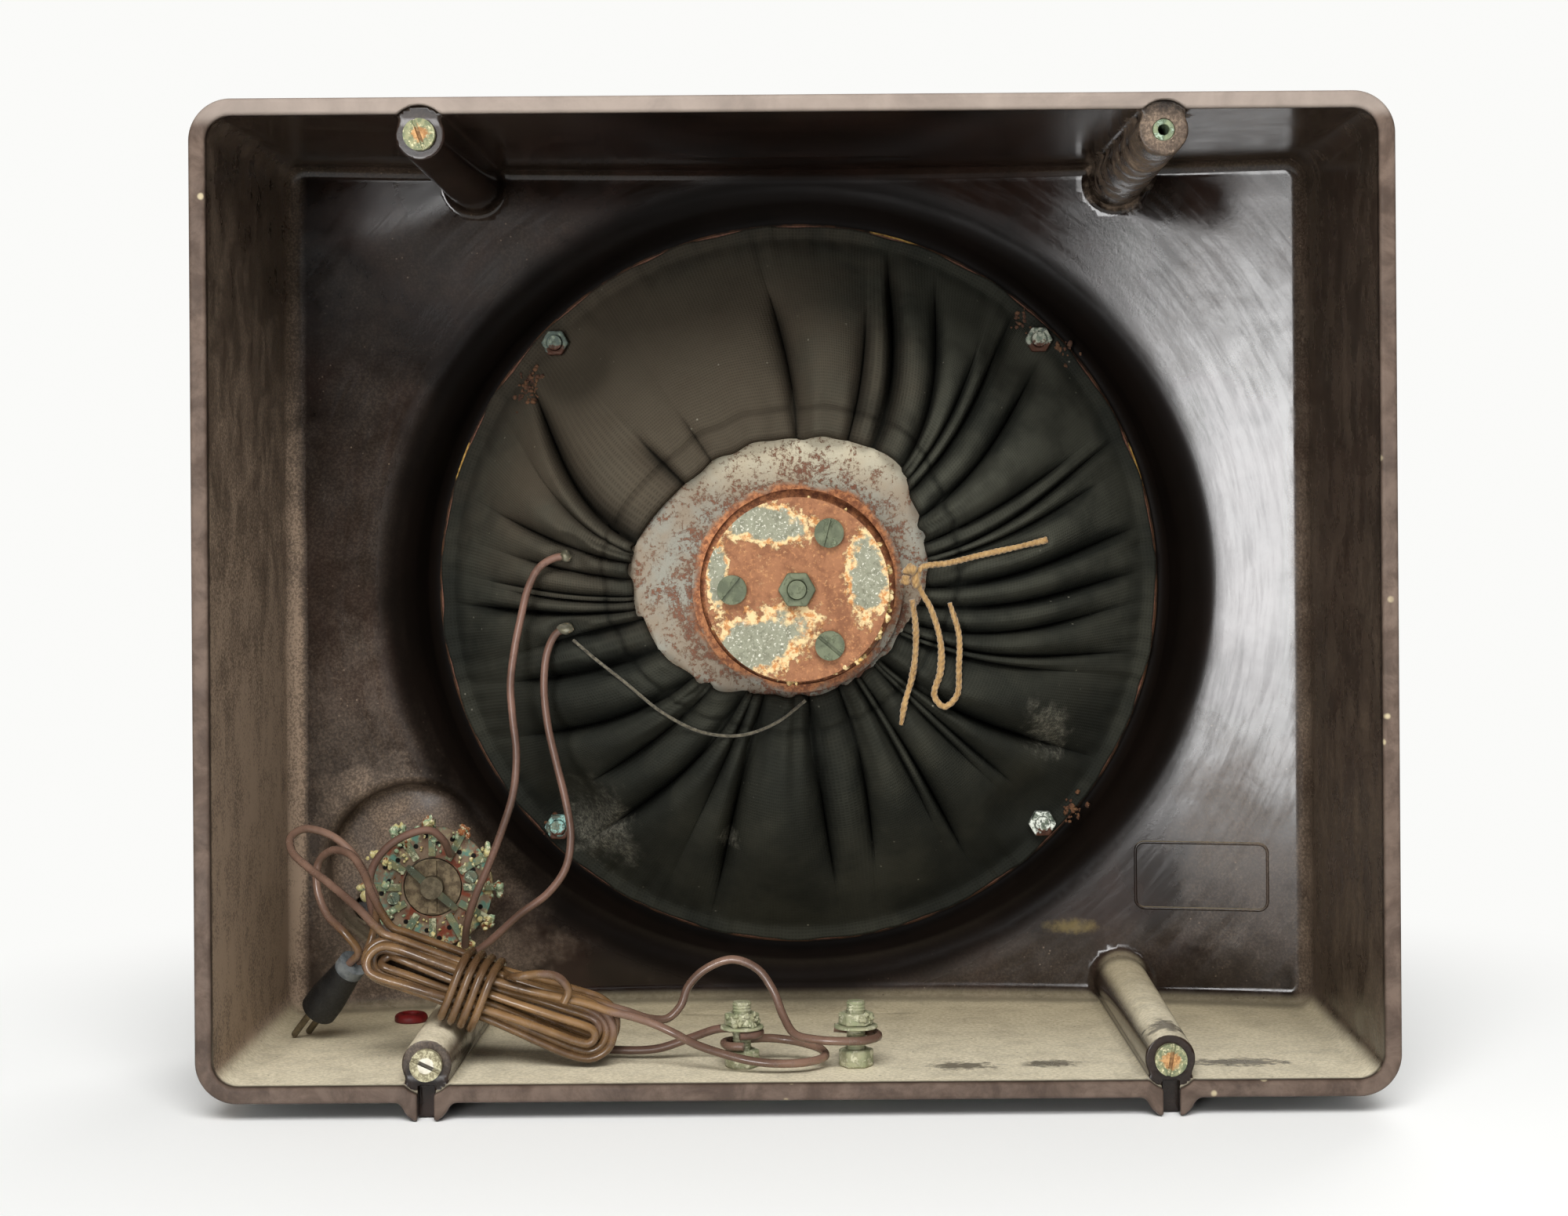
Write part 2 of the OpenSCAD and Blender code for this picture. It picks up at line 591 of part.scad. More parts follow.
module detent_spring() color([0.6, 0.6, 0.55]) at(switch_x, switch_z) translate([0, 0, wheel_r + clear]) {
    translate([-spring_w / 2, wheel_front - wheel_t, 0]) cube([spring_w, wheel_t, spring_t]);
    for (x = [-spring_w / 2, spring_w / 2 - spring_leg]) translate([x, wheel_front - wheel_t, 0])
        cube([spring_leg, knob_floor - index_t - wheel_front + wheel_t, spring_t]);
}
module switch_spacers() color([0.55, 0.55, 0.5]) at(switch_x, switch_z) tie_places()
    ring(tie_r + fit, spacer_r, wafer_front, knob_floor - index_t);
module switch_ties() color([0.55, 0.6, 0.45]) at(switch_x, switch_z) tie_places() {
    slotted_head(tie_head_r, tie_head_h, wafer_rear, tie_slot_turn);
    rod(tie_r, wafer_rear, knob_floor);
}
module switch_wafer() color([0.4, 0.3, 0.2]) at(switch_x, switch_z) difference() {
    rod(wafer_r, wafer_rear, wafer_front);
    rod(rotor_r + clear, wafer_rear - overshoot, wafer_front + overshoot);
    tie_places() rod(tie_r + fit, wafer_rear - overshoot, wafer_front + overshoot);
}
lug_w = 2;
lug_t = 0.7;
lug_in = rotor_r + 0.8;
lug_out = wafer_r + 2.3;
lug_rise = 3;
module switch_contacts() color([0.5, 0.6, 0.4]) at(switch_x, switch_z) for (i = [0 : contacts - 1])
    rotate([0, i * 360 / contacts, 0]) {
        translate([lug_in, wafer_rear - lug_t, -lug_w / 2]) cube([lug_out - lug_in, lug_t, lug_w]);
        translate([lug_out - lug_t, wafer_rear - lug_rise, -lug_w / 2]) cube([lug_t, lug_rise, lug_w]);
    }
blade_w = 2.4;
blade_t = 0.8;
blade_half = rotor_r - 0.6;
module switch_rotor() color([0.45, 0.34, 0.22]) at(switch_x, switch_z) difference() {
    union() {
        rod(rotor_r, wafer_rear, wafer_front);
        translate([-blade_w / 2, wafer_rear - blade_t, -blade_half])
            cube([blade_w, blade_t + wafer_t / 2, 2 * blade_half]);
    }
    rod(shaft_r + run, wafer_rear - blade_t - overshoot, wafer_front + overshoot);
}
shaft_rear = wafer_rear - 2.4;
knob_bore = knob_front - 3;
module switch_shaft() color([0.62, 0.6, 0.52]) at(switch_x, switch_z)
    rod(shaft_r, shaft_rear, knob_bore - clear);
knob_skirt = 3.4;
grip_r = knob_r - 2.4;
grip_edge = 1.2;
flutes = 20;
flute_r = 0.9;
flute_out = 0.3;
pointer_w = 1;
module knob() color([0.22, 0.15, 0.12]) at(switch_x, switch_z) difference() {
    union() {
        turned() polygon([[0, knob_rear], [knob_r, knob_rear], [knob_r, knob_rear + knob_skirt],
            [grip_r, knob_rear + knob_skirt], [grip_r, knob_front - grip_edge],
            [grip_r - grip_edge, knob_front], [0, knob_front]]);
        translate([-pointer_w / 2, knob_rear + knob_skirt - 1, grip_r - 2])
            cube([pointer_w, 2, knob_r - grip_r + 1]);
    }
    rod(switch_nut_af / 2 * hex_r + 0.8, knob_rear - overshoot, bush_end + 2 * clear);
    rod(shaft_r + run, knob_rear, knob_bore);
    around(grip_r + flute_out, 180 / flutes, flutes)
        rod(flute_r, knob_rear + knob_skirt + 2, knob_front + overshoot);
    translate([0, grub_depth, 0]) rotate([180, 0, 0]) cylinder(r = grub_r + fit, h = knob_r + overshoot);
}
grub_r = 1.5;
grub_len = 5;
grub_depth = mix(bush_end + 2 * clear, knob_front, 0.5);
module knob_screw() color([0.6, 0.6, 0.58]) at(switch_x, switch_z) translate([0, grub_depth, -shaft_r - fit])
    rotate([180, 0, 0]) cylinder(r = grub_r, h = grub_len);

// Terminal studs through the floor, their heads under the shell
head_h = 2.6;
module stud_places() for (x = [-1, 1]) translate([x * stud_gap / 2, stud_depth, 0]) children();
module upright_hex(af, z0, h) translate([0, 0, z0]) difference() {
    cylinder(r = af / 2 * hex_r, h = h, $fn = 6);
    translate([0, 0, -overshoot]) cylinder(r = stud_r + run, h = h + 2 * overshoot);
}
washer_z = floor_z + lower_nut_h + wire_room;
module terminal_studs() color([0.5, 0.55, 0.42]) placed() stud_places() {
    translate([0, 0, foot_h - head_h]) cylinder(r = stud_nut_af / 2 * hex_r, h = head_h, $fn = 6);
    translate([0, 0, foot_h]) cylinder(r = stud_r, h = wall_t + stud_h);
}
module terminal_lower_nuts() color([0.55, 0.58, 0.48]) placed() stud_places()
    upright_hex(stud_nut_af, floor_z, lower_nut_h);
module terminal_washers() color([0.6, 0.6, 0.5]) placed() stud_places() translate([0, 0, washer_z])
    difference() {
        cylinder(r = washer_r, h = washer_t);
        translate([0, 0, -overshoot]) cylinder(r = stud_r + run, h = washer_t + 2 * overshoot);
    }
module terminal_nut_left() color([0.55, 0.6, 0.46]) placed() translate([-stud_gap / 2, stud_depth, 0])
    upright_hex(stud_nut_af, washer_z + washer_t + run, upper_nut_h);
module terminal_nut_right() color([0.55, 0.6, 0.46]) placed() translate([stud_gap / 2, stud_depth, 0])
    upright_hex(stud_nut_af, washer_z + washer_t + run, upper_nut_h);

// Grommet in the floor, with a lip under it and a thicker one above it
grommet_gap = 16.3;
grommet_at = [-(boss_x + grommet_gap), side_depth - 16];
grommet_lip = 1.5;
lip_below = 1.2;
lip_above = 2.4;
lip_edge = 0.8;
module cable_grommet() color([0.6, 0.1, 0.1]) placed() translate(grommet_at) rotate_extrude() polygon([
    [grommet_hole_r, foot_h - lip_below], [grommet_r, foot_h - lip_below], [grommet_r, foot_h],
    [grommet_r - grommet_lip, foot_h], [grommet_r - grommet_lip, floor_z], [grommet_r, floor_z],
    [grommet_r, floor_z + lip_above - lip_edge], [grommet_r - lip_edge, floor_z + lip_above],
    [grommet_hole_r, floor_z + lip_above]]);

// A round cord swept along points, with its rings turned as little as possible
function tangents(p) = [for (i = [0 : len(p) - 1]) unit(p[min(i + 1, len(p) - 1)] - p[max(i - 1, 0)])];
function first_side(t) = abs(t[2]) < 0.9 ? unit(cross(t, [0, 0, 1])) : unit(cross(t, [1, 0, 0]));
function square_to(n, t) = unit(n - (n * t) * t);
function side_vectors(t) = [for (i = 0, n = first_side(t[0]); i < len(t);
    i = i + 1, n = i < len(t) ? square_to(n, t[i]) : n) n];
module tube(path, r, sides) {
    t = tangents(path);
    n = side_vectors(t);
    last = (len(path) - 1) * sides;
    points = [for (i = [0 : len(path) - 1], k = [0 : sides - 1]) let(a = k * 360 / sides)
        path[i] + r * (cos(a) * n[i] + sin(a) * cross(t[i], n[i]))];
    faces = [
        for (i = [0 : len(path) - 2], k = [0 : sides - 1]) each let(
            a = i * sides + k, b = i * sides + (k + 1) % sides, c = a + sides, d = b + sides)
            [[a, c, d], [a, d, b]],
        for (k = [1 : sides - 2]) [0, k, k + 1],
        for (k = [1 : sides - 2]) [last, last + k + 1, last + k]];
    polyhedron(points, faces);
}
module cord(points, d) placed() tube(points, d / 2, 8);

// Hank of the two cores: runs drawn in at the waist, two layers to each core
hank_mid = [-81, 22, 29.5];
hank_tilt = 17;
hank_run = 26;
fold_r = 6.6;
hank_pitch = 3.1;
waist_lane = 1.6;
waist_pitch = 3;
turns_in = 1;
turns_all = 3.3;
rings_per_turn = 24;
run_share = 0.3;
hank_u = [cos(hank_tilt), 0, -sin(hank_tilt)];
hank_v = [sin(hank_tilt), 0, cos(hank_tilt)];
hank_w = [0, 1, 0];
function hank_lane(t) = t < turns_in ? turns_in - t : t < turns_in + 0.5 ? 0 : t - turns_in - 0.5;
function hank_layer(t) = t < turns_in ? 0 : t < turns_in + 0.5 ? smooth((t - turns_in) / 0.5) : 1;
function hank_flat(t) = let(
    f = t - floor(t),
    lane = hank_lane(t),
    h = fold_r + lane * hank_pitch,
    w = waist_lane + lane * waist_pitch,
    along = f < run_share ? 1 - 2 * f / run_share
        : f >= 0.5 && f < 0.5 + run_share ? 2 * (f - 0.5) / run_share - 1 : 0,
    reach = mix(w, h, smooth(abs(along))),
    turn = f < 0.5 ? 90 + 180 * (f - run_share) / (0.5 - run_share)
        : 270 + 180 * (f - 0.5 - run_share) / (0.5 - run_share))
    f < run_share ? [hank_run * along, reach]
    : f < 0.5 ? [-hank_run + h * cos(turn), h * sin(turn)]
    : f < 0.5 + run_share ? [hank_run * along, -reach]
    : [hank_run + h * cos(turn), h * sin(turn)];
function hank_place(u, v, w) = hank_mid + u * hank_u + v * hank_v + w * hank_w;
function hank_path(first) = [for (i = [0 : round(turns_all * rings_per_turn)]) let(
    t = i / rings_per_turn, p = hank_flat(t))
    hank_place(p[0], p[1], (first + hank_layer(t) - 1.5) * hank_pitch)];
tie_turns = 4;
tie_pitch = 2.9;
tie_half = [9.7, 8];
function rounder(x) = sign(x) * sqrt(abs(x));
function tie_path() = [for (i = [0 : tie_turns * rings_per_turn]) let(a = 60 + i * 360 / rings_per_turn)
    hank_place((i / rings_per_turn - tie_turns / 2) * tie_pitch, tie_half[0] * rounder(cos(a)),
        tie_half[1] * rounder(sin(a)))];
function least_gap(p, skip) = min([for (i = [0 : len(p) - 1 - skip], j = [i + skip : len(p) - 1])
    norm(p[i] - p[j])]) - wire_d;
module hank_a() color([0.45, 0.3, 0.2]) placed() tube(hank_path(0), wire_d / 2, 6);
module hank_b() color([0.45, 0.3, 0.2]) placed() tube(hank_path(2), wire_d / 2, 6);
module hank_tie() color([0.42, 0.28, 0.18]) placed() tube(tie_path(), wire_d / 2, 6);
echo(hank_a_least_gap = least_gap(hank_path(0), 12));
echo(hank_b_least_gap = least_gap(hank_path(2), 12));
echo(hank_tie_least_gap = least_gap(tie_path(), 12));

// Plug with its two pins
plug_at = [-119, 50, 31];
plug_dir = unit([-0.55, 0.45, -0.7]);
plug_side = unit(cross(plug_dir, [0, 0, 1]));
collar_len = 3;
pin_half = 2.5;
core_half = 1.5;
pin_root = 5.8;
module along_plug() placed() translate(plug_at)
    rotate([0, acos(plug_dir[2]), atan2(plug_dir[1], plug_dir[0])]) children();
module plug_collar() color([0.5, 0.5, 0.5]) along_plug() cylinder(r = plug_r - 1, h = collar_len);
module plug_body() color([0.1, 0.1, 0.1]) along_plug() difference() {
    rotate_extrude() polygon([[0, collar_len], [plug_r - 1.2, collar_len], [plug_r, plug_len - 5],
        [plug_r, plug_len], [0, plug_len]]);
    for (y = [-1, 1]) translate([0, y * pin_half, plug_len - pin_root - fit])
        cylinder(r = pin_r + fit, h = pin_root + overshoot);
}
module plug_pins() color([0.5, 0.45, 0.35]) along_plug() for (y = [-1, 1])
    translate([0, y * pin_half, plug_len - pin_root]) {
        cylinder(r = pin_r, h = pin_root + pin_len - pin_r);
        translate([0, 0, pin_root + pin_len - pin_r]) sphere(r = pin_r);
    }

// Routes of the free cords: sideways, depth from the rear rim, height
speaker_lead_upper_route = [[-65, 83.6, 138.5], [-68, 83.2, 138], [-72, 82, 135.5], [-75, 81, 130],
    [-77, 80, 122], [-79, 79.5, 112], [-80, 79, 103], [-79.5, 79, 94], [-78.5, 79, 84], [-79.5, 79.5, 73],
    [-83, 80.5, 62], [-87, 82, 52], [-91, 83.5, 43], [-93.5, 85.5, 35], [-94.5, 89, 28.7]];
speaker_lead_lower_route = [[-65, 83.6, 118], [-67.5, 83.3, 117], [-70, 82.6, 112], [-71, 82, 103],
    [-70, 81, 92], [-67.5, 80, 81], [-65, 79, 71], [-63.5, 78.5, 61], [-65, 78.5, 52], [-70, 79, 45],
    [-78, 80, 39], [-87, 81.5, 31], [-95, 83, 25.5], [-101, 85.5, 24.5], [-104, 89, 26.1]];
switch_feed_route = [[-98.5, 91.6, 54.5], [-98.5, 88, 55], [-99.5, 84, 59], [-103, 80.5, 62.5],
    [-109, 78, 61.5], [-114, 76, 58.5], [-117.5, 73, 53.5], [-118, 69, 47.5], [-115.5, 63, 41],
    [-110, 55, 34], [-103, 46, 28], [-94, 39, 24.5], [-84, 36, 21], [-72, 35, 15.5], [-60, 34, 12],
    [-48, 32, 11], [-37, 30.5, 11.5], [-28, 29.5, 14.5], [-21, 28, 17], [-15, 26, 17.4],
    [-10.2, 22.8, 17.4], [-11, 18, 17.4], [-15, 16.6, 17.4]];
line_a_to_stud_route = [hank_path(0)[0], hank_path(0)[0] + 4 * hank_u, [-44, 17.5, 27.5],
    [-38, 18, 23.5], [-32, 17.5, 19], [-26, 15.5, 15.5], [-19, 13.5, 13.5], [-12, 12, 12], [-5, 11.5, 11.4],
    [2, 13, 11.4], [6.5, 17.5, 11.8], [5.5, 23.5, 12.6], [0, 27.5, 13.6], [-7, 28.5, 14.4],
    [-14, 26, 14.7], [-19, 22.5, 14.7], [-18, 17.6, 14.7], [-14, 16.4, 14.7]];
line_b_to_stud_route = [hank_path(2)[0], hank_path(2)[0] + 4 * hank_u, [-44, 24, 27], [-38.5, 25, 23],
    [-34, 26, 20.5], [-30.5, 26, 23.5], [-28.5, 26, 28.5], [-24, 25.5, 33], [-17, 25, 35.5],
    [-10.5, 24.5, 33], [-6.5, 23.5, 27.5], [-4, 21.5, 21.5], [-1, 18.5, 17.4], [5, 16, 16.4],
    [11, 15.2, 16.2], [16.5, 15.8, 16.2], [20, 19, 16.4], [19.6, 23.6, 16.6], [15, 26.2, 16.8],
    [9, 26.5, 17.4]];
line_a_to_plug_route = [hank_end(0), hank_end(0) - 4 * hank_u, [-113, 23.5, 52.5], [-121, 30, 55.5],
    [-129, 38, 58.5], [-134.5, 46, 61.5], [-136, 52.5, 64.5], [-133, 57.5, 66], [-127, 60, 64],
    [-121.5, 60.5, 59.5], [-117, 58.5, 53], [-113.5, 54, 46.5], [-113.5, 49, 39.5],
    plug_entry(1) - 5 * plug_dir, plug_entry(1)];
line_b_to_plug_route = [hank_end(2), hank_end(2) - 4 * hank_u, [-110.5, 31, 54], [-114, 37, 58],
    [-118.5, 42.5, 61], [-124, 46.5, 61.5], [-128, 49, 58], [-128.5, 49.5, 51], [-125.5, 48, 44],
    [-120.5, 46, 39.5], plug_entry(-1) - 5 * plug_dir, plug_entry(-1)];
drawstring_route = [[70, 87, 142], [61, 84, 140], [51, 80, 138], [42, 76, 136], [34, 73.5, 134.5],
    [33.5, 74, 130], [37, 75.5, 123], [39.5, 77, 114], [39.5, 78.5, 106], [37.8, 79, 99], [40.5, 79, 96],
    [44, 79, 99], [44.6, 78, 107], [44.6, 76.5, 116], [42, 74.5, 125]];
drawstring_tail_route = [[31.5, 71, 126], [32.5, 74, 119], [32.5, 76.5, 111], [31.5, 78, 104],
    [29.5, 78.5, 97], [28.5, 79, 91]];
thread_route = [[-63, 84.5, 115], [-57, 82.8, 110], [-48, 81, 103], [-38, 79.5, 95], [-27, 78.5, 89.5],
    [-16, 78.5, 88.5], [-6, 78.5, 92], [2, 79, 98]];
function hank_end(first) = let(p = hank_path(first)) p[len(p) - 1];
function plug_entry(side) = plug_at + side * core_half * plug_side;
module speaker_lead_upper() color([0.42, 0.28, 0.22]) cord(speaker_lead_upper_route, wire_d);
module speaker_lead_lower() color([0.42, 0.28, 0.22]) cord(speaker_lead_lower_route, wire_d);
module switch_feed() color([0.42, 0.28, 0.22]) cord(switch_feed_route, wire_d);
module line_a_to_stud() color([0.45, 0.3, 0.2]) cord(line_a_to_stud_route, wire_d);
module line_b_to_stud() color([0.45, 0.3, 0.2]) cord(line_b_to_stud_route, wire_d);
module line_a_to_plug() color([0.45, 0.3, 0.2]) cord(line_a_to_plug_route, wire_d);
module line_b_to_plug() color([0.45, 0.3, 0.2]) cord(line_b_to_plug_route, wire_d);
module drawstring() color([0.72, 0.55, 0.32]) cord(drawstring_route, string_d);
module drawstring_tail() color([0.72, 0.55, 0.32]) cord(drawstring_tail_route, string_d);
module loose_thread() color([0.25, 0.24, 0.2]) cord(thread_route, thread_d);

cabinet();
cover_inserts();
cover_screws();
grille_cloth();
speaker_gasket();
speaker_basket();
speaker_bolts();
speaker_nuts();
magnet_pot();
magnet();
pole_plate();
pole_piece();
pot_screws();
core_bolt();
core_nut();
cone();
dust_cap();
coil_former();
voice_coil();
surround();
spider();
tag_strip();
solder_tags();
dust_bag();
bag_rim();
drawstring();
drawstring_tail();
switch_bush();
dial_plate();
switch_nut();
index_wheel();
detent_spring();
switch_spacers();
switch_ties();
switch_wafer();
switch_contacts();
switch_rotor();
switch_shaft();
knob();
knob_screw();
terminal_studs();
terminal_lower_nuts();
terminal_washers();
terminal_nut_left();
terminal_nut_right();
cable_grommet();
speaker_lead_upper();
speaker_lead_lower();
switch_feed();
line_a_to_stud();
line_b_to_stud();
hank_a();
hank_b();
hank_tie();
line_a_to_plug();
line_b_to_plug();
plug_body();
plug_collar();
plug_pins();
loose_thread();
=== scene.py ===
import json
import math

import bpy
import numpy as np
from mathutils import Matrix, Vector

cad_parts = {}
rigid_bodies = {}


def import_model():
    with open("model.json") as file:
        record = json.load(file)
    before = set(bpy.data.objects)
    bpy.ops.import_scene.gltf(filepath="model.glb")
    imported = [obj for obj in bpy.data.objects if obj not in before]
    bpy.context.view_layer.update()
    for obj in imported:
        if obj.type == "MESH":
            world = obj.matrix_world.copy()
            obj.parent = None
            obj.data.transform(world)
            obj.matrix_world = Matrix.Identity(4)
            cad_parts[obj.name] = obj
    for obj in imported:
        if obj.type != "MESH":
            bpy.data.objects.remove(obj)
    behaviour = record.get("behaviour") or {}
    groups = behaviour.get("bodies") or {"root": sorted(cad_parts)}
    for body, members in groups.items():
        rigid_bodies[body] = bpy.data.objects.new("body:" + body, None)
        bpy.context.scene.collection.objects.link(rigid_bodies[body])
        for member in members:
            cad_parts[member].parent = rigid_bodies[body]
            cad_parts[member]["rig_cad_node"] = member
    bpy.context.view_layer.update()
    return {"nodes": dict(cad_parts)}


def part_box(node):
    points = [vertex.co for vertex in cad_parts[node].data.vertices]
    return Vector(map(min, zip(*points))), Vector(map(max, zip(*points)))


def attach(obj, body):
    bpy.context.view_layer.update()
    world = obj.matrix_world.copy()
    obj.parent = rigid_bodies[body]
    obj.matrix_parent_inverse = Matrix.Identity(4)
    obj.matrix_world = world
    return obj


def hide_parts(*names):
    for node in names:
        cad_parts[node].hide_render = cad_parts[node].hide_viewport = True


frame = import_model()
cadNodes = frame["nodes"]
mm = 0.001
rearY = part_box("cabinet")[0].y  # the rear rim, from which every depth is measured
midZ = 129.5  # height of the speaker's axis above the table
print("frame loaded:", len(cadNodes), "nodes")


def spot(x, depth, z):  # millimetres across, in from the rear rim and up from the table
    return Vector((x * mm, rearY + depth * mm, z * mm))


def toRow(points):  # the same for many points
    row = np.array(points, float) * mm
    row[:, 1] += rearY
    return row


def smooth(t):
    t = np.clip(t, 0, 1)
    return t * t * (3 - 2 * t)


def rgb(red, green, blue):  # a screen colour, 0 to 255
    linear = [c / 3294.6 if c < 11 else ((c / 255 + 0.055) / 1.055) ** 2.4 for c in (red, green, blue)]
    return (*linear, 1.0)


class Finish:  # a helper that wires one material
    def __init__(self, name, **settings):
        self.material = bpy.data.materials.new(name)
        self.material.use_nodes = True
        self.tree = self.material.node_tree
        self.shader = self.tree.nodes["Principled BSDF"]
        self.where = self.add("ShaderNodeTexCoord").outputs["Object"]
        for socket, value in settings.items():
            self.shader.inputs[socket.replace("_", " ")].default_value = value

    def add(self, kind, **settings):
        node = self.tree.nodes.new(kind)
        for setting, value in settings.items():
            setattr(node, setting, value)
        return node

    def feed(self, node, socket, value):
        if isinstance(value, bpy.types.NodeSocket):
            self.tree.links.new(value, node.inputs[socket])
        else:
            node.inputs[socket].default_value = value

    def sum(self, operation, first, *others):
        for other in others or (0.0,):
            node = self.add("ShaderNodeMath", operation=operation)
            self.feed(node, 0, first)
            self.feed(node, 1, other)
            first = node.outputs[0]
        return first

    def times(self, *values):
        return self.sum("MULTIPLY", *values)

    def plus(self, *values):
        return self.sum("ADD", *values)

    def most(self, *values):
        return self.sum("MAXIMUM", *values)

    def hypot(self, a, b):
        return self.sum("SQRT", self.plus(self.times(a, a), self.times(b, b)))

    def squeeze(self, x, y, z, turn=(0, 0, 0), where=None):  # coordinates stretched or turned
        node = self.add("ShaderNodeMapping")
        self.feed(node, "Vector", where or self.where)
        self.feed(node, "Scale", (x, y, z))
        self.feed(node, "Rotation", [math.radians(a) for a in turn])
        return node.outputs[0]

    def noise(self, size, detail=3.0, rough=0.55, warp=0.0, where=None):  # size of a blotch in mm
        node = self.add("ShaderNodeTexNoise")
        self.feed(node, "Vector", where or self.where)
        self.feed(node, "Scale", 1 / (size * mm))
        self.feed(node, "Detail", detail)
        self.feed(node, "Roughness", rough)
        self.feed(node, "Distortion", warp)
        return node.outputs["Fac"]

    def cells(self, size):  # distance to the nearest of many scattered points, size mm apart
        node = self.add("ShaderNodeTexVoronoi")
        self.feed(node, "Vector", self.where)
        self.feed(node, "Scale", 1 / (size * mm))
        return node.outputs["Distance"]

    def stripes(self, where, pitch, warp, detail=2.0):  # threads side by side, pitch in mm
        node = self.add("ShaderNodeTexWave", wave_type="BANDS", bands_direction="X")
        self.feed(node, "Vector", where)
        self.feed(node, "Scale", math.pi / 20 / (pitch * mm))
        self.feed(node, "Distortion", warp)
        self.feed(node, "Detail", detail)
        return node.outputs["Fac"]

    def ramp(self, value, low, high, start=0.0, end=1.0):
        node = self.add("ShaderNodeMapRange", interpolation_type="SMOOTHSTEP")
        for socket, number in zip(range(5), (value, low, high, start, end)):
            self.feed(node, socket, number)
        return node.outputs[0]

    def mix(self, share, a, b):
        node = self.add("ShaderNodeMix", data_type="RGBA")
        for socket, colour in ((0, share), (6, a), (7, b)):
            self.feed(node, socket, colour)
        return node.outputs[2]

    def blots(self, low, high, *noise):  # blotches of a noise, cut between two levels
        return self.ramp(self.noise(*noise), low, high)

    def tones(self, dark, light, *blots):  # two screen colours in blotches
        return self.mix(self.blots(*blots), rgb(*dark), rgb(*light))

    def axis(self, name):
        node = self.add("ShaderNodeSeparateXYZ")
        self.feed(node, 0, self.where)
        return node.outputs[name]

    def away(self, centre, scale, turn=0.0):  # distance from a centre, each axis with its own scale
        shift = self.add("ShaderNodeVectorMath", operation="SUBTRACT")
        self.feed(shift, 0, self.where)
        self.feed(shift, 1, spot(*centre))
        turned = self.add("ShaderNodeVectorRotate", rotation_type="Y_AXIS")
        self.feed(turned, "Vector", shift.outputs[0])
        self.feed(turned, "Angle", math.radians(turn))
        scaled = self.add("ShaderNodeVectorMath", operation="MULTIPLY")
        self.feed(scaled, 0, turned.outputs[0])
        self.feed(scaled, 1, scale)
        length = self.add("ShaderNodeVectorMath", operation="LENGTH")
        self.feed(length, 0, scaled.outputs[0])
        return length.outputs["Value"]

    def reach(self, centre, size, turn=0.0, ragged=0.5):  # 1 on an oval's edge, size (x, z) in mm
        length = self.away(centre, (1 / (size[0] * mm), 0.0, 1 / (size[1] * mm)), turn)
        if not ragged:
            return length
        return self.plus(length, self.ramp(self.noise(min(size) * 0.8, 5, 0.65), 0.2, 0.8, -ragged, ragged))

    def near(self, centre, size, turn=0.0, ragged=0.5, full=0.75, none=1.1):  # 1 inside that oval
        return self.ramp(self.reach(centre, size, turn, ragged), full, none, 1, 0)

    def bump(self, height, depth):  # depth in mm
        node = self.add("ShaderNodeBump")
        self.feed(node, "Height", height)
        self.feed(node, "Distance", depth * mm)
        return node.outputs[0]

    def wire(self, **sockets):
        for socket, value in sockets.items():
            self.feed(self.shader, socket.replace("_", " "), value)
        return self.material


def dress(piece, material, body="root"):
    piece.data.materials.clear()
    piece.data.materials.append(material)
    if "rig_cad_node" not in piece:
        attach(piece, body)
    return piece


def dressAll(looks):
    for name, finish in looks.items():
        dress(cadNodes[name], finish)


def place(name, data):  # a new object in the scene
    piece = bpy.data.objects.new(name, data)
    bpy.context.scene.collection.objects.link(piece)
    return piece


def meshPiece(name, points, faces):  # points in mm from the rear rim
    mesh = bpy.data.meshes.new(name)
    mesh.from_pydata(toRow(points).tolist(), [], [list(map(int, f)) for f in faces])
    mesh.polygons.foreach_set("use_smooth", [True] * len(mesh.polygons))
    mesh.update()
    return place(name, mesh)


def gridFaces(rows, columns):  # quads of a grid, its columns joined into a ring
    i, j = np.meshgrid(np.arange(rows - 1), np.arange(columns), indexing="ij")
    k = (j + 1) % columns
    return np.stack([i * columns + j, i * columns + k, (i + 1) * columns + k, (i + 1) * columns + j],
                    -1).reshape(-1, 4)


# The camera stands behind the open back, a little above the middle of the cabinet
cameraSetup = {"lens": 60.966, "sensor": 36, "aside": 6.2, "standoff": 659, "height": 153.2,
               "roll": -0.42, "shift": (-0.0225, -0.06775)}


def setCamera():
    data = bpy.data.cameras.new("camera")
    data.lens = cameraSetup["lens"]
    data.sensor_width = cameraSetup["sensor"]
    data.shift_x, data.shift_y = cameraSetup["shift"]
    camera = place("camera", data)
    turn = Matrix.Rotation(math.pi / 2, 4, "X") @ Matrix.Rotation(math.radians(cameraSetup["roll"]), 4, "Z")
    here = spot(cameraSetup["aside"], -cameraSetup["standoff"], cameraSetup["height"])
    camera.matrix_world = Matrix.Translation(here) @ turn
    bpy.context.scene.camera = camera


setCamera()
print("camera set")


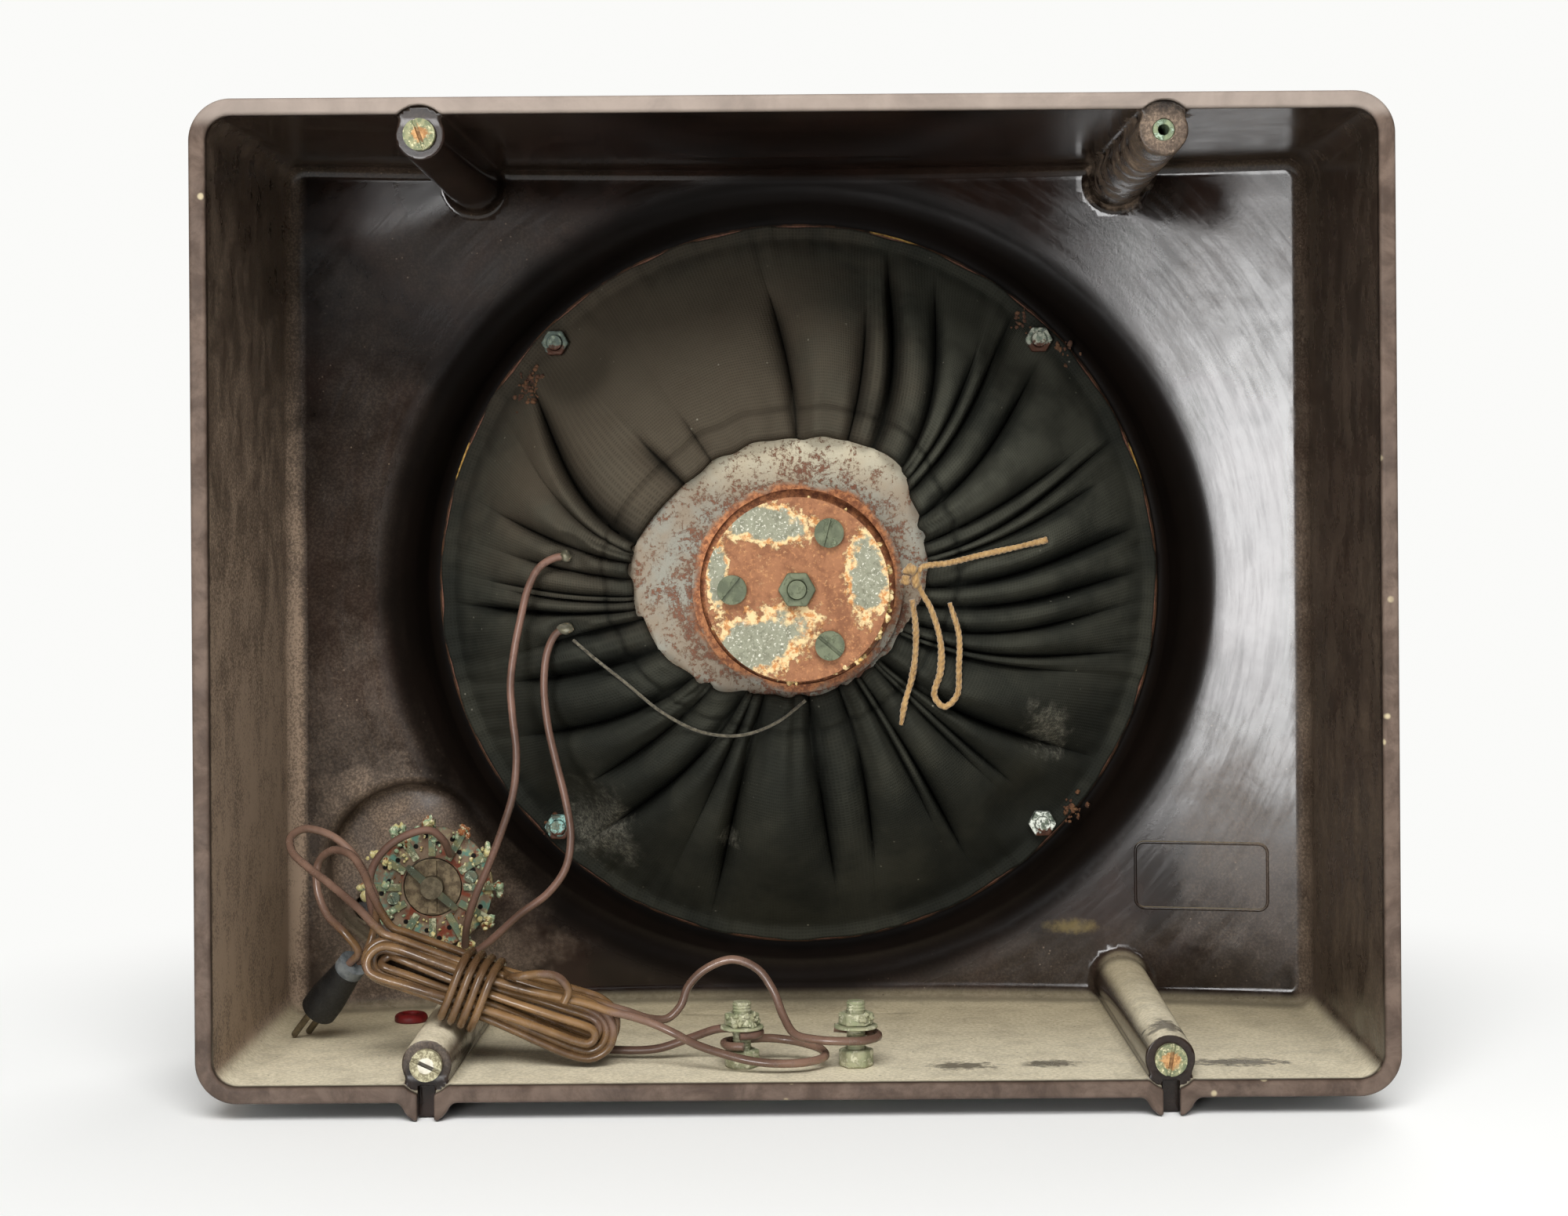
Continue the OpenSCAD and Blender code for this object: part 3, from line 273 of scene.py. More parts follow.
# Soft studio light: where each lamp stands (m), its size (m) and its power (W)
lightSetup = {"lamps": {"topLamp": ((0.0, -1.25, 1.2), (1.2, 0.8), 32),
                        "leftBox": ((-0.43, -1.62, 0.05), (0.36, 0.76), 15.5),
                        "rightBox": ((0.36, -1.62, 0.66), (0.26, 0.26), 1.2),
                        "upperBox": ((0.17, -1.62, 0.375), (0.2, 0.14), 0.13),
                        "frontLamp": ((0.7, 1.6, 1.2), (1.0, 1.0), 14)},
              "aim": (0, 0, 0.12), "fill": 0.14, "paper": 0.98, "paperTone": (253, 253, 251),
              "roomBehind": 0.015, "roomAhead": 0.8, "roomEdge": (0.25, 0.7),
              "tableTop": (251, 251, 249), "tableWorn": (250, 250, 248), "tableFade": (0.12, 0.34),
              "tableEdges": (2.0, -0.46, 2.2), "tableDrop": 0.0002}


def setLight():
    for name, (where, size, power) in lightSetup["lamps"].items():
        data = bpy.data.lights.new(name, "AREA")
        data.shape = "RECTANGLE"
        data.size, data.size_y = size
        data.energy = power
        lamp = place(name, data)
        lamp.location = where
        lamp.rotation_euler = (Vector(lightSetup["aim"]) - Vector(where)).to_track_quat("-Z", "Y").to_euler()
        lamp.visible_glossy = name != "topLamp"  # the gloss shows the boxes, not this lamp


# White paper all round for the camera. Gloss sees it too, but the side behind the camera is a dim room
def setBackdrop():
    s = lightSetup
    world = bpy.data.worlds.new("paper")
    world.use_nodes = True
    tree = world.node_tree
    sky = tree.nodes["Background"]
    path = tree.nodes.new("ShaderNodeLightPath")
    way = tree.nodes.new("ShaderNodeTexCoord")
    parts = tree.nodes.new("ShaderNodeSeparateXYZ")
    tree.links.new(way.outputs["Generated"], parts.inputs[0])
    side = tree.nodes.new("ShaderNodeMapRange")
    tree.links.new(parts.outputs["Y"], side.inputs[0])
    for socket, number in zip(range(1, 5), (*s["roomEdge"], s["roomBehind"], s["roomAhead"])):
        side.inputs[socket].default_value = number

    def choose(ray, a, b):
        node = tree.nodes.new("ShaderNodeMix")
        tree.links.new(path.outputs[ray], node.inputs[0])
        for socket, value in ((2, a), (3, b)):
            if isinstance(value, bpy.types.NodeSocket):
                tree.links.new(value, node.inputs[socket])
            else:
                node.inputs[socket].default_value = value
        return node.outputs[0]

    strength = choose("Is Glossy Ray", s["fill"], side.outputs[0])
    for ray in ("Is Transmission Ray", "Is Camera Ray"):
        strength = choose(ray, strength, s["paper"])
    tree.links.new(strength, sky.inputs["Strength"])
    sky.inputs["Color"].default_value = rgb(*s["paperTone"])
    bpy.context.scene.world = world

    table = Finish("tableTop", Roughness=0.9, Specular_IOR_Level=0.1)
    table.wire(Base_Color=table.tones(s["tableTop"], s["tableWorn"], 0.3, 0.7, 400, 2))
    far = table.add("ShaderNodeVectorMath", operation="LENGTH")
    table.feed(far, 0, table.where)
    seen = table.add("ShaderNodeLightPath").outputs["Is Camera Ray"]
    paper = table.add("ShaderNodeEmission")
    paper.inputs[0].default_value = rgb(*s["paperTone"])
    paper.inputs[1].default_value = s["paper"]
    join = table.add("ShaderNodeMixShader")
    table.feed(join, 0, table.times(seen, table.ramp(far.outputs["Value"], *s["tableFade"])))
    table.feed(join, 1, table.shader.outputs[0])
    table.feed(join, 2, paper.outputs[0])
    table.feed(table.tree.nodes["Material Output"], 0, join.outputs[0])
    wide, near, end = s["tableEdges"]
    corners = ((-wide, near), (wide, near), (wide, end), (-wide, end))
    mesh = bpy.data.meshes.new("tableTop")
    mesh.from_pydata([(x, y, -s["tableDrop"]) for x, y in corners], [], [[0, 1, 2, 3]])
    mesh.materials.append(table.material)
    floor = place("tableTop", mesh)
    bpy.context.scene.view_settings.view_transform = "Standard"


setLight()
setBackdrop()
print("light and table set")


def stepsAlong(line):  # distance from the start at each point
    return np.concatenate([[0], np.cumsum(np.linalg.norm(np.diff(line, axis=0), axis=1))])


def lineLength(line):
    return float(stepsAlong(line)[-1])


def evenly(line, count):  # the same line in equal steps
    along = stepsAlong(line)
    even = np.linspace(0, along[-1], count)
    return np.stack([np.interp(even, along, line[:, c]) for c in range(3)], 1)


def route(points, step=0.7):  # one smooth line through the points, cut into even steps
    p = np.array(points, float)
    p = np.vstack([2 * p[0] - p[1], p, 2 * p[-1] - p[-2]])
    knots = np.concatenate([[0], np.cumsum(np.sqrt(np.linalg.norm(np.diff(p, axis=0), axis=1)))])
    line = []
    for i in range(1, len(p) - 2):
        k = knots[i - 1:i + 3]
        t = np.linspace(k[1], k[2], 25)[:-1, None]
        low = [(k[n + 1] - t) / (k[n + 1] - k[n]) * p[i - 1 + n] + (t - k[n]) / (k[n + 1] - k[n]) * p[i + n]
               for n in range(3)]
        mid = [(k[n + 2] - t) / (k[n + 2] - k[n]) * low[n] + (t - k[n]) / (k[n + 2] - k[n]) * low[n + 1]
               for n in range(2)]
        line.append((k[2] - t) / (k[2] - k[1]) * mid[0] + (t - k[1]) / (k[2] - k[1]) * mid[1])
    line = np.vstack([*line, p[-2:-1]])
    return evenly(line, max(2, round(lineLength(line) / step)) + 1)


def wirePiece(name, line, diameter):  # a round wire as a curve
    curve = bpy.data.curves.new(name, "CURVE")
    curve.dimensions = "3D"
    curve.bevel_depth = diameter / 2 * mm
    curve.bevel_resolution = 3
    curve.use_fill_caps = True
    spline = curve.splines.new("POLY")
    spline.points.add(len(line) - 1)
    spline.points.foreach_set("co", np.hstack([toRow(line), np.ones((len(line), 1))]).ravel())
    spline.use_smooth = True
    return place(name, curve)


def carriedFrames(line):  # two directions across a line that don't twist along it
    ahead = np.gradient(line, axis=0)
    ahead /= np.linalg.norm(ahead, axis=1)[:, None]
    start = np.cross(ahead[0], (0.3, 0.9, 0.2))
    across = [start / np.linalg.norm(start)]
    for t in ahead[1:]:
        v = across[-1] - t * np.dot(across[-1], t)
        across.append(v / np.linalg.norm(v))
    across = np.array(across)
    return across, np.cross(ahead, across)


# The string: three plies round its middle, in shares of its radius, and a thinner end
stringLay = {"plies": 3, "pitch": 5.2, "centre": 0.36, "ply": 0.66, "swell": 0.07, "marks": 16, "taper": 0.25,
             "taperOver": 5}


def laidString(name, line, diameter, seed):
    s = stringLay
    draw = np.random.default_rng(seed)
    across, beside = carriedFrames(line)
    along = stepsAlong(line)
    sides = 8 * s["plies"]
    turn = np.linspace(0, 2 * math.pi, sides, endpoint=False)
    part = 2 * math.pi / s["plies"]
    offset = (turn[None, :] - along[:, None] / s["pitch"] * 2 * math.pi) % part - part / 2
    radius = s["centre"] * np.cos(offset) + np.sqrt(s["ply"] ** 2 - (s["centre"] * np.sin(offset)) ** 2)
    uneven = draw.normal(0, 1, s["marks"])
    swell = 1 + s["swell"] * np.interp(along, np.linspace(0, along[-1], s["marks"]), uneven)
    end = 1 - s["taper"] * smooth(1 - (along[-1] - along) / s["taperOver"])
    size = diameter / 2 * radius * (swell * end)[:, None]
    points = (line[:, None, :] + across[:, None, :] * (np.cos(turn) * size)[:, :, None]
              + beside[:, None, :] * (np.sin(turn) * size)[:, :, None]).reshape(-1, 3)
    last = (len(line) - 1) * sides
    faces = [list(f) for f in gridFaces(len(line), sides)]
    faces += [list(range(sides))[::-1], list(range(last, last + sides))]
    return meshPiece(name, points, faces)


# The line lead lies in a tied hank on the floor, its two cores side by side
hankSetup = {"middle": (-80, 22, 27.4), "tilt": 20, "run": 27, "fold": 1.9, "pitch": 2.25, "layer": 3.0,
             "waist": 1.2, "waistPitch": 1.95, "turns": 4.3, "rings": 24, "runShare": 0.3, "lead": 2.3,
             "leftFold": 0.82, "stray": 0.55, "golden": (44, 18), "seed": 61, "tieTurns": 4, "tiePitch": 2.7,
             "tieSize": (8.7, 7.7), "tieStart": 60, "tieAt": -4.5,
             "tieLoop": [(6, 8.6, -8.3), (11, 11.2, -8.6), (16, 12, -8), (19.5, 9.6, -7.4), (19.5, 6.2, -7.4)]}
hankTurn = math.radians(hankSetup["tilt"])
hankAxes = np.array([[math.cos(hankTurn), 0, -math.sin(hankTurn)],
                     [math.sin(hankTurn), 0, math.cos(hankTurn)], [0, 1, 0]])


def onHank(along, over, back):
    return np.array(hankSetup["middle"]) + np.array([along, over, back]) @ hankAxes


def hankFlat(turn):
    s = hankSetup
    lane = s["lead"] * (1 - turn) if turn < 1 else max(0.0, turn - 1.5)
    fold, waist = s["fold"] + lane * s["pitch"], s["waist"] + lane * s["waistPitch"]
    if s["runShare"] / 2 < turn % 1 < (1 + s["runShare"]) / 2:
        fold *= s["leftFold"]
    f, share = turn % 1, s["runShare"]
    if f < share:
        along = 1 - 2 * f / share
    elif 0.5 <= f < 0.5 + share:
        along = 2 * (f - 0.5) / share - 1
    else:
        side = -1 if f < 0.5 else 1
        start = share if f < 0.5 else 0.5 + share
        a = math.radians((90 if f < 0.5 else 270) + 180 * (f - start) / (0.5 - share))
        return side * s["run"] + fold * math.cos(a), fold * math.sin(a)
    reach = waist + (fold - waist) * float(smooth(abs(along)))
    return s["run"] * along, reach if f < 0.5 else -reach


def hankCore(first):
    s = hankSetup
    count = round(s["turns"] * s["rings"]) + 1
    draw = np.random.default_rng(s["seed"] + first)
    marks = np.linspace(0, count, 30)
    stray = [np.interp(np.arange(count), marks, draw.normal(0, s["stray"], 30)) for _ in range(2)]
    points = []
    for i in range(count):
        turn = i / s["rings"]
        layer = float(smooth((turn - 1) / 0.5))
        along, over = hankFlat(turn)
        loose = float(smooth(abs(along) / 12))  # the tie holds the middle
        points.append(onHank(along + loose * stray[0][i], over + loose * stray[1][i] * 0.7,
                             (first + layer - 1.5) * s["layer"] + loose * stray[0][i]))
    return points


def hankTie():
    s = hankSetup
    points = []
    for i in range(s["tieTurns"] * s["rings"] + 1):
        a = math.radians(s["tieStart"] + 360 / s["rings"] * i)
        over, back = [size * math.copysign(math.sqrt(abs(v)), v)
                      for size, v in zip(s["tieSize"], (math.cos(a), math.sin(a)))]
        points.append(onHank(s["tieAt"] + (i / s["rings"] - s["tieTurns"] / 2) * s["tiePitch"], over, back))
    return [*points, *(onHank(*p) for p in s["tieLoop"])]


# The plug lies beside the switch: where its collar's rear is, and the way it points
plugAt = np.array([-119, 50, 31.0])
plugWay = np.array([-0.55, 0.45, -0.7]) / np.linalg.norm([0.55, 0.45, 0.7])
plugAside = np.cross(plugWay, (0, 0, 1)) / np.linalg.norm(np.cross(plugWay, (0, 0, 1)))
coreApart = 1.5  # each core from the plug's middle


def lineCore(first, side, stud, plug):  # from its stud through the hank to the plug
    core = hankCore(first)
    along = hankAxes[0]
    to = plugAt + side * coreApart * plugAside
    return route([*stud[::-1], core[0] + 4 * along, *core, core[-1] - 4 * along, *plug, to - 5 * plugWay, to])


wireWidth, stringWidth, threadWidth = 2.2, 1.8, 0.9
cordRoutes = {
    "lineToLeftStud": [[-44, 17.5, 22.8], [-38, 18, 20.8], [-32, 17.5, 18.2], [-26, 15.5, 15.5], [-19, 13.5, 13.5],
                       [-12, 12, 12], [-5, 11.5, 11.4], [2, 13, 11.4], [6.5, 17.5, 11.8], [5.5, 23.5, 12.6],
                       [0, 27.5, 13.6], [-7, 28.5, 14.4], [-14, 26, 14.7], [-19, 22.5, 14.7], [-18, 17.6, 14.7],
                       [-14, 16.4, 14.7]],
    "lineToRightStud": [[-44, 24, 22.4], [-38.5, 25, 20.4], [-34, 26, 20.2], [-30.5, 26, 23.5], [-28.5, 26, 28.5],
                        [-24, 25.5, 33], [-17, 25, 35.5], [-10.5, 24.5, 33], [-6.5, 23.5, 27.5],
                        [-4, 21.5, 21.5], [-1, 18.5, 17.4], [5, 16, 16.4], [11, 15.2, 16.2], [16.5, 15.8, 16.2],
                        [20, 19, 16.4], [19.6, 23.6, 16.6], [15, 26.2, 16.8], [9, 26.5, 17.4]],
    "outerCoreToPlug": [[-113, 23.5, 49.5], [-121, 30, 54.5], [-129, 38, 58.5], [-134.5, 46, 61.5],
                        [-136, 52.5, 64.5], [-133, 57.5, 66], [-127, 60, 64], [-121.5, 60.5, 59.5],
                        [-117, 58.5, 53], [-113.5, 54, 46.5], [-113.5, 49, 39.5]],
    "innerCoreToPlug": [[-110.5, 31, 51.5], [-114, 37, 57], [-118.5, 42.5, 61], [-124, 46.5, 61.5],
                        [-128, 49, 58], [-128.5, 49.5, 51], [-125.5, 48, 44], [-120.5, 46, 39.5]],
    "upperSpeakerLead": [[-65, 83.6, 138.5], [-68, 83.2, 138], [-72, 82, 135.5], [-75, 81, 130], [-77, 80, 122],
                         [-79, 79.5, 112], [-80, 79, 103], [-79.5, 79, 94], [-78.5, 79, 84], [-79.5, 79.5, 73],
                         [-83, 80.5, 62], [-87, 82, 52], [-91, 83.5, 43], [-93.5, 85.5, 35],
                         [-94.5, 89, 28.7]],
    "lowerSpeakerLead": [[-65, 83.6, 118], [-67.5, 83.3, 117], [-70, 82.6, 112], [-71, 82, 103], [-70, 81, 92],
                         [-67.5, 80, 81], [-65, 79, 71], [-63.5, 78.5, 61], [-65, 78.5, 52], [-70, 79, 45],
                         [-78, 80, 39], [-87, 81.5, 31], [-95, 83, 25.5], [-101, 85.5, 24.5],
                         [-104, 89, 26.1]],
    "switchFeed": [[-98.5, 91.6, 54.5], [-98.5, 88, 55], [-99.5, 84, 59], [-103, 80.5, 62.5], [-109, 78, 61.5],
                   [-114, 76, 58.5], [-117.5, 73, 53.5], [-118, 69, 47.5], [-115.5, 63, 41], [-110, 55, 34],
                   [-103, 46, 28], [-94, 39, 24.5], [-84, 36, 21], [-72, 35, 15.5], [-60, 34, 12],
                   [-48, 32, 11], [-37, 30.5, 11.5], [-28, 29.5, 14.5], [-21, 28, 17], [-15, 26, 17.4],
                   [-10.2, 22.8, 17.4], [-11, 18, 17.4], [-15, 16.6, 17.4]],
    "drawstring": [[70, 87, 142], [61, 84, 140], [51, 80, 138], [42, 76, 136], [34, 73.5, 134.5],
                   [33.5, 74, 130], [37, 75.5, 123], [39.5, 77, 114], [39.5, 78.5, 106], [37.8, 79, 99],
                   [40.5, 79, 96], [44, 79, 99], [44.6, 78, 107], [44.6, 76.5, 116], [42, 74.5, 125]],
    "drawstringTail": [[31.5, 71, 126], [32.5, 74, 119], [32.5, 76.5, 111], [31.5, 78, 104], [29.5, 78.5, 97],
                       [28.5, 79, 91]],
    "looseThread": [[-63, 84.5, 115], [-57, 82.8, 110], [-48, 81, 103], [-38, 79.5, 95], [-27, 78.5, 89.5],
                    [-16, 78.5, 88.5], [-6, 78.5, 92], [2, 79, 98]]}


# Brown rubber covering, worn darker in places: two tones, gleam, and dusty tones of the runs outside the hank
wireLook = {"redBrownLead": ((82, 61, 51), (118, 89, 76), 0.42),
            "goldBrownLine": ((78, 57, 38), (130, 99, 64), 0.22, (88, 67, 56), (126, 99, 84))}
wireGrime = (52, 38, 30)


def wireFinish(name):
    dark, light, gleam, *dusty = wireLook[name]
    f = Finish(name, Coat_Weight=0.25, Coat_Roughness=0.25, Specular_IOR_Level=0.5)
    worn = f.blots(0.35, 0.7, 16, 4, 0.6)
    grime = f.blots(0.5, 0.72, 4, 4, 0.7)
    tone = f.mix(worn, rgb(*dark), rgb(*light))
    if dusty:
        tied = f.near(hankSetup["middle"], hankSetup["golden"], -hankSetup["tilt"], 0.4)
        tone = f.mix(tied, f.mix(worn, *(rgb(*c) for c in dusty)), tone)
    colour = f.mix(f.times(grime, 0.55), tone, rgb(*wireGrime))
    return f.wire(Base_Color=colour, Roughness=f.ramp(grime, 0, 1, gleam, 0.6),
                  Normal=f.bump(f.noise(1.2, 3), 0.05))


def juteFinish():
    f = Finish("rawJute", Roughness=0.9, Sheen_Weight=0.35, Sheen_Roughness=0.5)
    fibre = f.noise(0.7, 4, 0.7, 0.4, f.squeeze(1, 1, 0.35, (0, 30, 0)))
    stained = f.tones((122, 90, 50), (150, 116, 70), 0.35, 0.65, 9, 3)
    colour = f.mix(f.ramp(fibre, 0.3, 0.7), stained, rgb(178, 146, 98))
    return f.wire(Base_Color=colour, Normal=f.bump(fibre, 0.25))


def threadFinish():
    f = Finish("greyThread", Roughness=0.85, Sheen_Weight=0.2)
    fibre = f.noise(1.0, 3)
    return f.wire(Base_Color=f.mix(f.ramp(fibre, 0.3, 0.7), rgb(58, 54, 44), rgb(104, 98, 82)),
                  Normal=f.bump(fibre, 0.1))


def makeCords():
    r = cordRoutes
    leadFinish, lineFinish = wireFinish("redBrownLead"), wireFinish("goldBrownLine")
    jute, cotton = juteFinish(), threadFinish()

    def declare(name, line, width, finish, nodes):
        piece = dress(wirePiece(name, line, width), finish)
        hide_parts(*nodes)

    outer = lineCore(0, 1, r["lineToLeftStud"], r["outerCoreToPlug"])
    declare("lineOuterCore", outer, wireWidth, lineFinish,
            ("line_a_to_stud", "hank_a", "line_a_to_plug"))
    inner = lineCore(2, -1, r["lineToRightStud"], r["innerCoreToPlug"])
    declare("lineInnerCore", inner, wireWidth, lineFinish,
            ("line_b_to_stud", "hank_b", "line_b_to_plug"))
    declare("hankTie", route(hankTie()), wireWidth, lineFinish, ("hank_tie",))
    for name, node in (("upperSpeakerLead", "speaker_lead_upper"), ("lowerSpeakerLead", "speaker_lead_lower"),
                       ("switchFeed", "switch_feed")):
        declare(name, route(r[name]), wireWidth, leadFinish, (node,))
    declare("looseThread", route(r["looseThread"]), threadWidth, cotton, ("loose_thread",))
    for name, node, seed in (("drawstring", "drawstring", 3), ("drawstringTail", "drawstring_tail", 5)):
        line = route(r[name], 0.3)
        piece = dress(laidString(name + "Jute", line, stringWidth, seed), jute)
        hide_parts(node)


makeCords()
print("cords laid")


# The cabinet is one moulding, so its skin is taken from a rounded distance field, all in millimetres
shell = {"half": (150, 125), "wall": 4.2, "corner": 10.5, "bowRadius": 599.49, "bowCentre": -481.49, "panel": 4.5,
         "dish": (116, 108, 100, 122), "drum": (120.5, 112.5, 100, 126.5), "grille": 86, "bar": 6, "barPitch": 17,
         "smallDish": (-112, 48.5, 24, 113.0), "smallDrum": (28.5, 117.5), "spareHole": (-126, 36, 3.8, 116.3),
         "boss": (92.7, 115.8, 6.2, 2.6), "bossFlare": 0.012, "scoop": 7.3, "insertHole": (2.75, 14.6),
         "runner": (5.7, 6.3, 106), "slot": (2.1, 5, 8.4), "drumStart": 98, "dishStart": 96,
         "barDepth": (124.25, 2.25), "barOverlap": 2}
# Radius of each rounded edge and fillet
rounds = {"soft": 4.0, "drum": 3, "smallDrum": 2.5, "smallDrumFoot": 3, "runner": 2, "runnerFoot": 1.5, "dish": 2.5,
          "dishLip": 6.5, "smallDish": 3, "smallLip": 2.5, "back": 1.0, "rim": 0.9, "grille": 1.0, "bar": 1.2,
          "boss": 0.5, "bossFoot": 2.5, "scoop": 0.4, "slot": 0.4, "spareHole": 0.5}


def roundJoin(a, b, r):  # union with a fillet
    return np.maximum(r, np.minimum(a, b)) - np.hypot(np.maximum(r - a, 0), np.maximum(r - b, 0))


def roundCut(a, b, r):  # overlap with a rounded edge
    return np.minimum(-r, np.maximum(a, b)) + np.hypot(np.maximum(r + a, 0), np.maximum(r + b, 0))


def frameSide(x, z, halfWidth, halfHeight, r):
    qx, qz = np.abs(x) - halfWidth + r, np.abs(z - midZ) - halfHeight + r
    return np.hypot(np.maximum(qx, 0), np.maximum(qz, 0)) + np.minimum(np.maximum(qx, qz), 0) - r


def coneSide(rho, depth, shape):
    wide, narrow, near, far = shape
    slope = (wide - narrow) / (far - near)
    return (rho - wide + (depth - near) * slope) / math.hypot(1, slope)


def cabinetField(x, depth, z):  # below zero inside the moulding
    s, r = shell, rounds
    rho = np.hypot(x, z - midZ)
    bow = np.hypot(x, depth - s["bowCentre"]) - s["bowRadius"]
    sx, sz, smallR, smallFloor = s["smallDish"]
    smallRho = np.hypot(x - sx, z - sz)
    sideX = np.abs(x) - s["boss"][0]

    body = roundCut(frameSide(x, z, *s["half"], s["corner"]), bow - s["panel"], r["soft"])
    drum = roundCut(coneSide(rho, depth, s["drum"]), depth - s["drum"][3], r["drum"])
    body = roundJoin(body, np.maximum(drum, s["drumStart"] - depth), r["soft"])
    smallDrum = roundCut(smallRho - s["smallDrum"][0], depth - s["smallDrum"][1], r["smallDrum"])
    body = roundJoin(body, np.maximum(smallDrum, s["dishStart"] - depth), r["smallDrumFoot"])
    runnerZ, runnerR, runnerEnd = s["runner"]
    runner = roundCut(np.hypot(sideX, z - runnerZ) - runnerR, depth - runnerEnd, r["runner"])
    body = roundJoin(body, np.maximum(runner, -z), r["runnerFoot"])

    inner = [h - s["wall"] for h in s["half"]]
    room = roundCut(frameSide(x, z, *inner, s["corner"] - s["wall"]), bow, r["soft"])
    dish = roundCut(coneSide(rho, depth, s["dish"]), depth - s["dish"][3], r["dish"])
    room = roundJoin(room, np.maximum(dish, s["dishStart"] - depth), r["dishLip"])
    smallDish = roundCut(smallRho - smallR, depth - smallFloor, r["smallDish"])
    room = roundJoin(room, np.maximum(smallDish, s["dishStart"] - depth), r["smallLip"])
    body = roundCut(roundCut(body, -depth, r["back"]), -room, r["rim"])

    body = roundCut(body, s["grille"] - rho, r["grille"])
    toBar = np.abs((z - midZ + s["barPitch"] / 2) % s["barPitch"] - s["barPitch"] / 2) - s["bar"] / 2
    barMiddle, barHalf = s["barDepth"]
    bars = np.maximum(toBar, rho - s["grille"] - s["barOverlap"])
    bars = roundCut(bars, np.abs(depth - barMiddle) - barHalf, r["bar"])
    body = roundJoin(body, bars, r["bar"])

    bossR, bossStart = s["boss"][2:]
    bossRho = np.hypot(sideX, np.abs(z - midZ) - s["boss"][1])
    flare = bossR + (depth - bossStart) * s["bossFlare"]
    boss = roundCut(np.maximum(bossRho - flare, bow - 2), bossStart - depth, r["boss"])
    body = roundJoin(body, boss, r["bossFoot"])
    body = roundCut(body, -np.maximum(bossRho - s["scoop"], depth - bossStart), r["scoop"])
    body = np.maximum(body, -np.maximum(bossRho - s["insertHole"][0], depth - s["insertHole"][1]))
    slotHalf, slotLength, slotTop = s["slot"]
    slot = np.maximum(np.maximum(np.abs(sideX) - slotHalf, depth - slotLength), z - slotTop)
    body = roundCut(body, -slot, r["slot"])
    hx, hz, hr, bottom = s["spareHole"]  # dark in the photograph, so a thin skin is left at the front
    return roundCut(body, -np.maximum(np.hypot(x - hx, z - hz) - hr, depth - bottom), r["spareHole"])


def ticks(*spans):  # grid lines: (start, end, step) for each span
    lines = [np.linspace(a, b, round((b - a) / step) + 1)[:-1] for a, b, step in spans]
    return np.concatenate([*lines, [spans[-1][1]]])


def skin(field, xs, ds, zs):  # one vertex in each cell that the surface crosses, then pulled on to it
    axes = (xs, ds, zs)
    value = field(xs[:, None, None], ds[None, :, None], zs[None, None, :])
    inside = value < 0
    corners = [np.array(c) for c in np.ndindex(2, 2, 2)]
    shape = tuple(n - 1 for n in value.shape)
    window = [tuple(slice(c[a], c[a] + shape[a]) for a in range(3)) for c in corners]
    count = sum(inside[w].astype(np.int8) for w in window)
    cells = np.argwhere((count > 0) & (count < 8))
    index = np.full(shape, -1)
    index[tuple(cells.T)] = np.arange(len(cells))
    at = [np.stack([axes[a][cells[:, a] + c[a]] for a in range(3)], 1) for c in corners]
    level = [value[tuple((cells + c).T)] for c in corners]
    total, hits = np.zeros((len(cells), 3)), np.zeros(len(cells))
    for i, a in enumerate(corners):
        for j, b in enumerate(corners):
            if j > i and np.abs(a - b).sum() == 1:
                crossed = (level[i] < 0) != (level[j] < 0)
                gap = np.where(crossed, level[i] - level[j], 1)
                total += np.where(crossed[:, None], at[i] + (at[j] - at[i]) * (level[i] / gap)[:, None], 0)
                hits += crossed
    points = total / hits[:, None]
    faces = []
    for a in range(3):
        b, c = (a + 1) % 3, (a + 2) % 3
        low = [slice(None)] * 3
        low[a] = slice(0, -1)
        high = [slice(None)] * 3
        high[a] = slice(1, None)
        edges = np.argwhere(inside[tuple(low)] != inside[tuple(high)])
        keep = ((edges[:, b] > 0) & (edges[:, b] < shape[b]) & (edges[:, c] > 0) & (edges[:, c] < shape[c]))
        edges = edges[keep]
        around = []
        for db, dc in ((-1, -1), (0, -1), (0, 0), (-1, 0)):
            cell = edges.copy()
            cell[:, b] += db
            cell[:, c] += dc
            around.append(index[tuple(cell.T)])
        quad = np.stack(around, 1)
        outward = inside[tuple(edges.T)]
        faces.append(np.where(outward[:, None], quad, quad[:, ::-1]))
    faces = np.vstack(faces)

    def slopeAt(p, h=0.04):
        step = np.eye(3) * h
        return np.stack([(field(*(p + e).T) - field(*(p - e).T)) / (2 * h) for e in step], 1)

    for _ in range(3):
        slope = slopeAt(points)
        size = np.maximum((slope ** 2).sum(1), 0.2)
        move = slope * (field(*points.T) / size)[:, None]
        far = np.linalg.norm(move, axis=1)[:, None]
        points -= move * np.minimum(1, 0.8 / np.maximum(far, 1e-9))
    normals = slopeAt(points)
    return points, faces, normals / np.linalg.norm(normals, axis=1)[:, None]


def rawMesh(name, points, faces, normals=None):  # quads only, for large meshes
    mesh = bpy.data.meshes.new(name)
    mesh.vertices.add(len(points))
    mesh.vertices.foreach_set("co", toRow(points).ravel())
    mesh.loops.add(faces.size)
    mesh.loops.foreach_set("vertex_index", faces.ravel())
    mesh.polygons.add(len(faces))
    mesh.polygons.foreach_set("loop_start", np.arange(len(faces)) * 4)
    mesh.polygons.foreach_set("use_smooth", [True] * len(faces))
    mesh.update(calc_edges=True)
    if normals is not None:
        mesh.normals_split_custom_set_from_vertices(normals.tolist())
    return place(name, mesh)


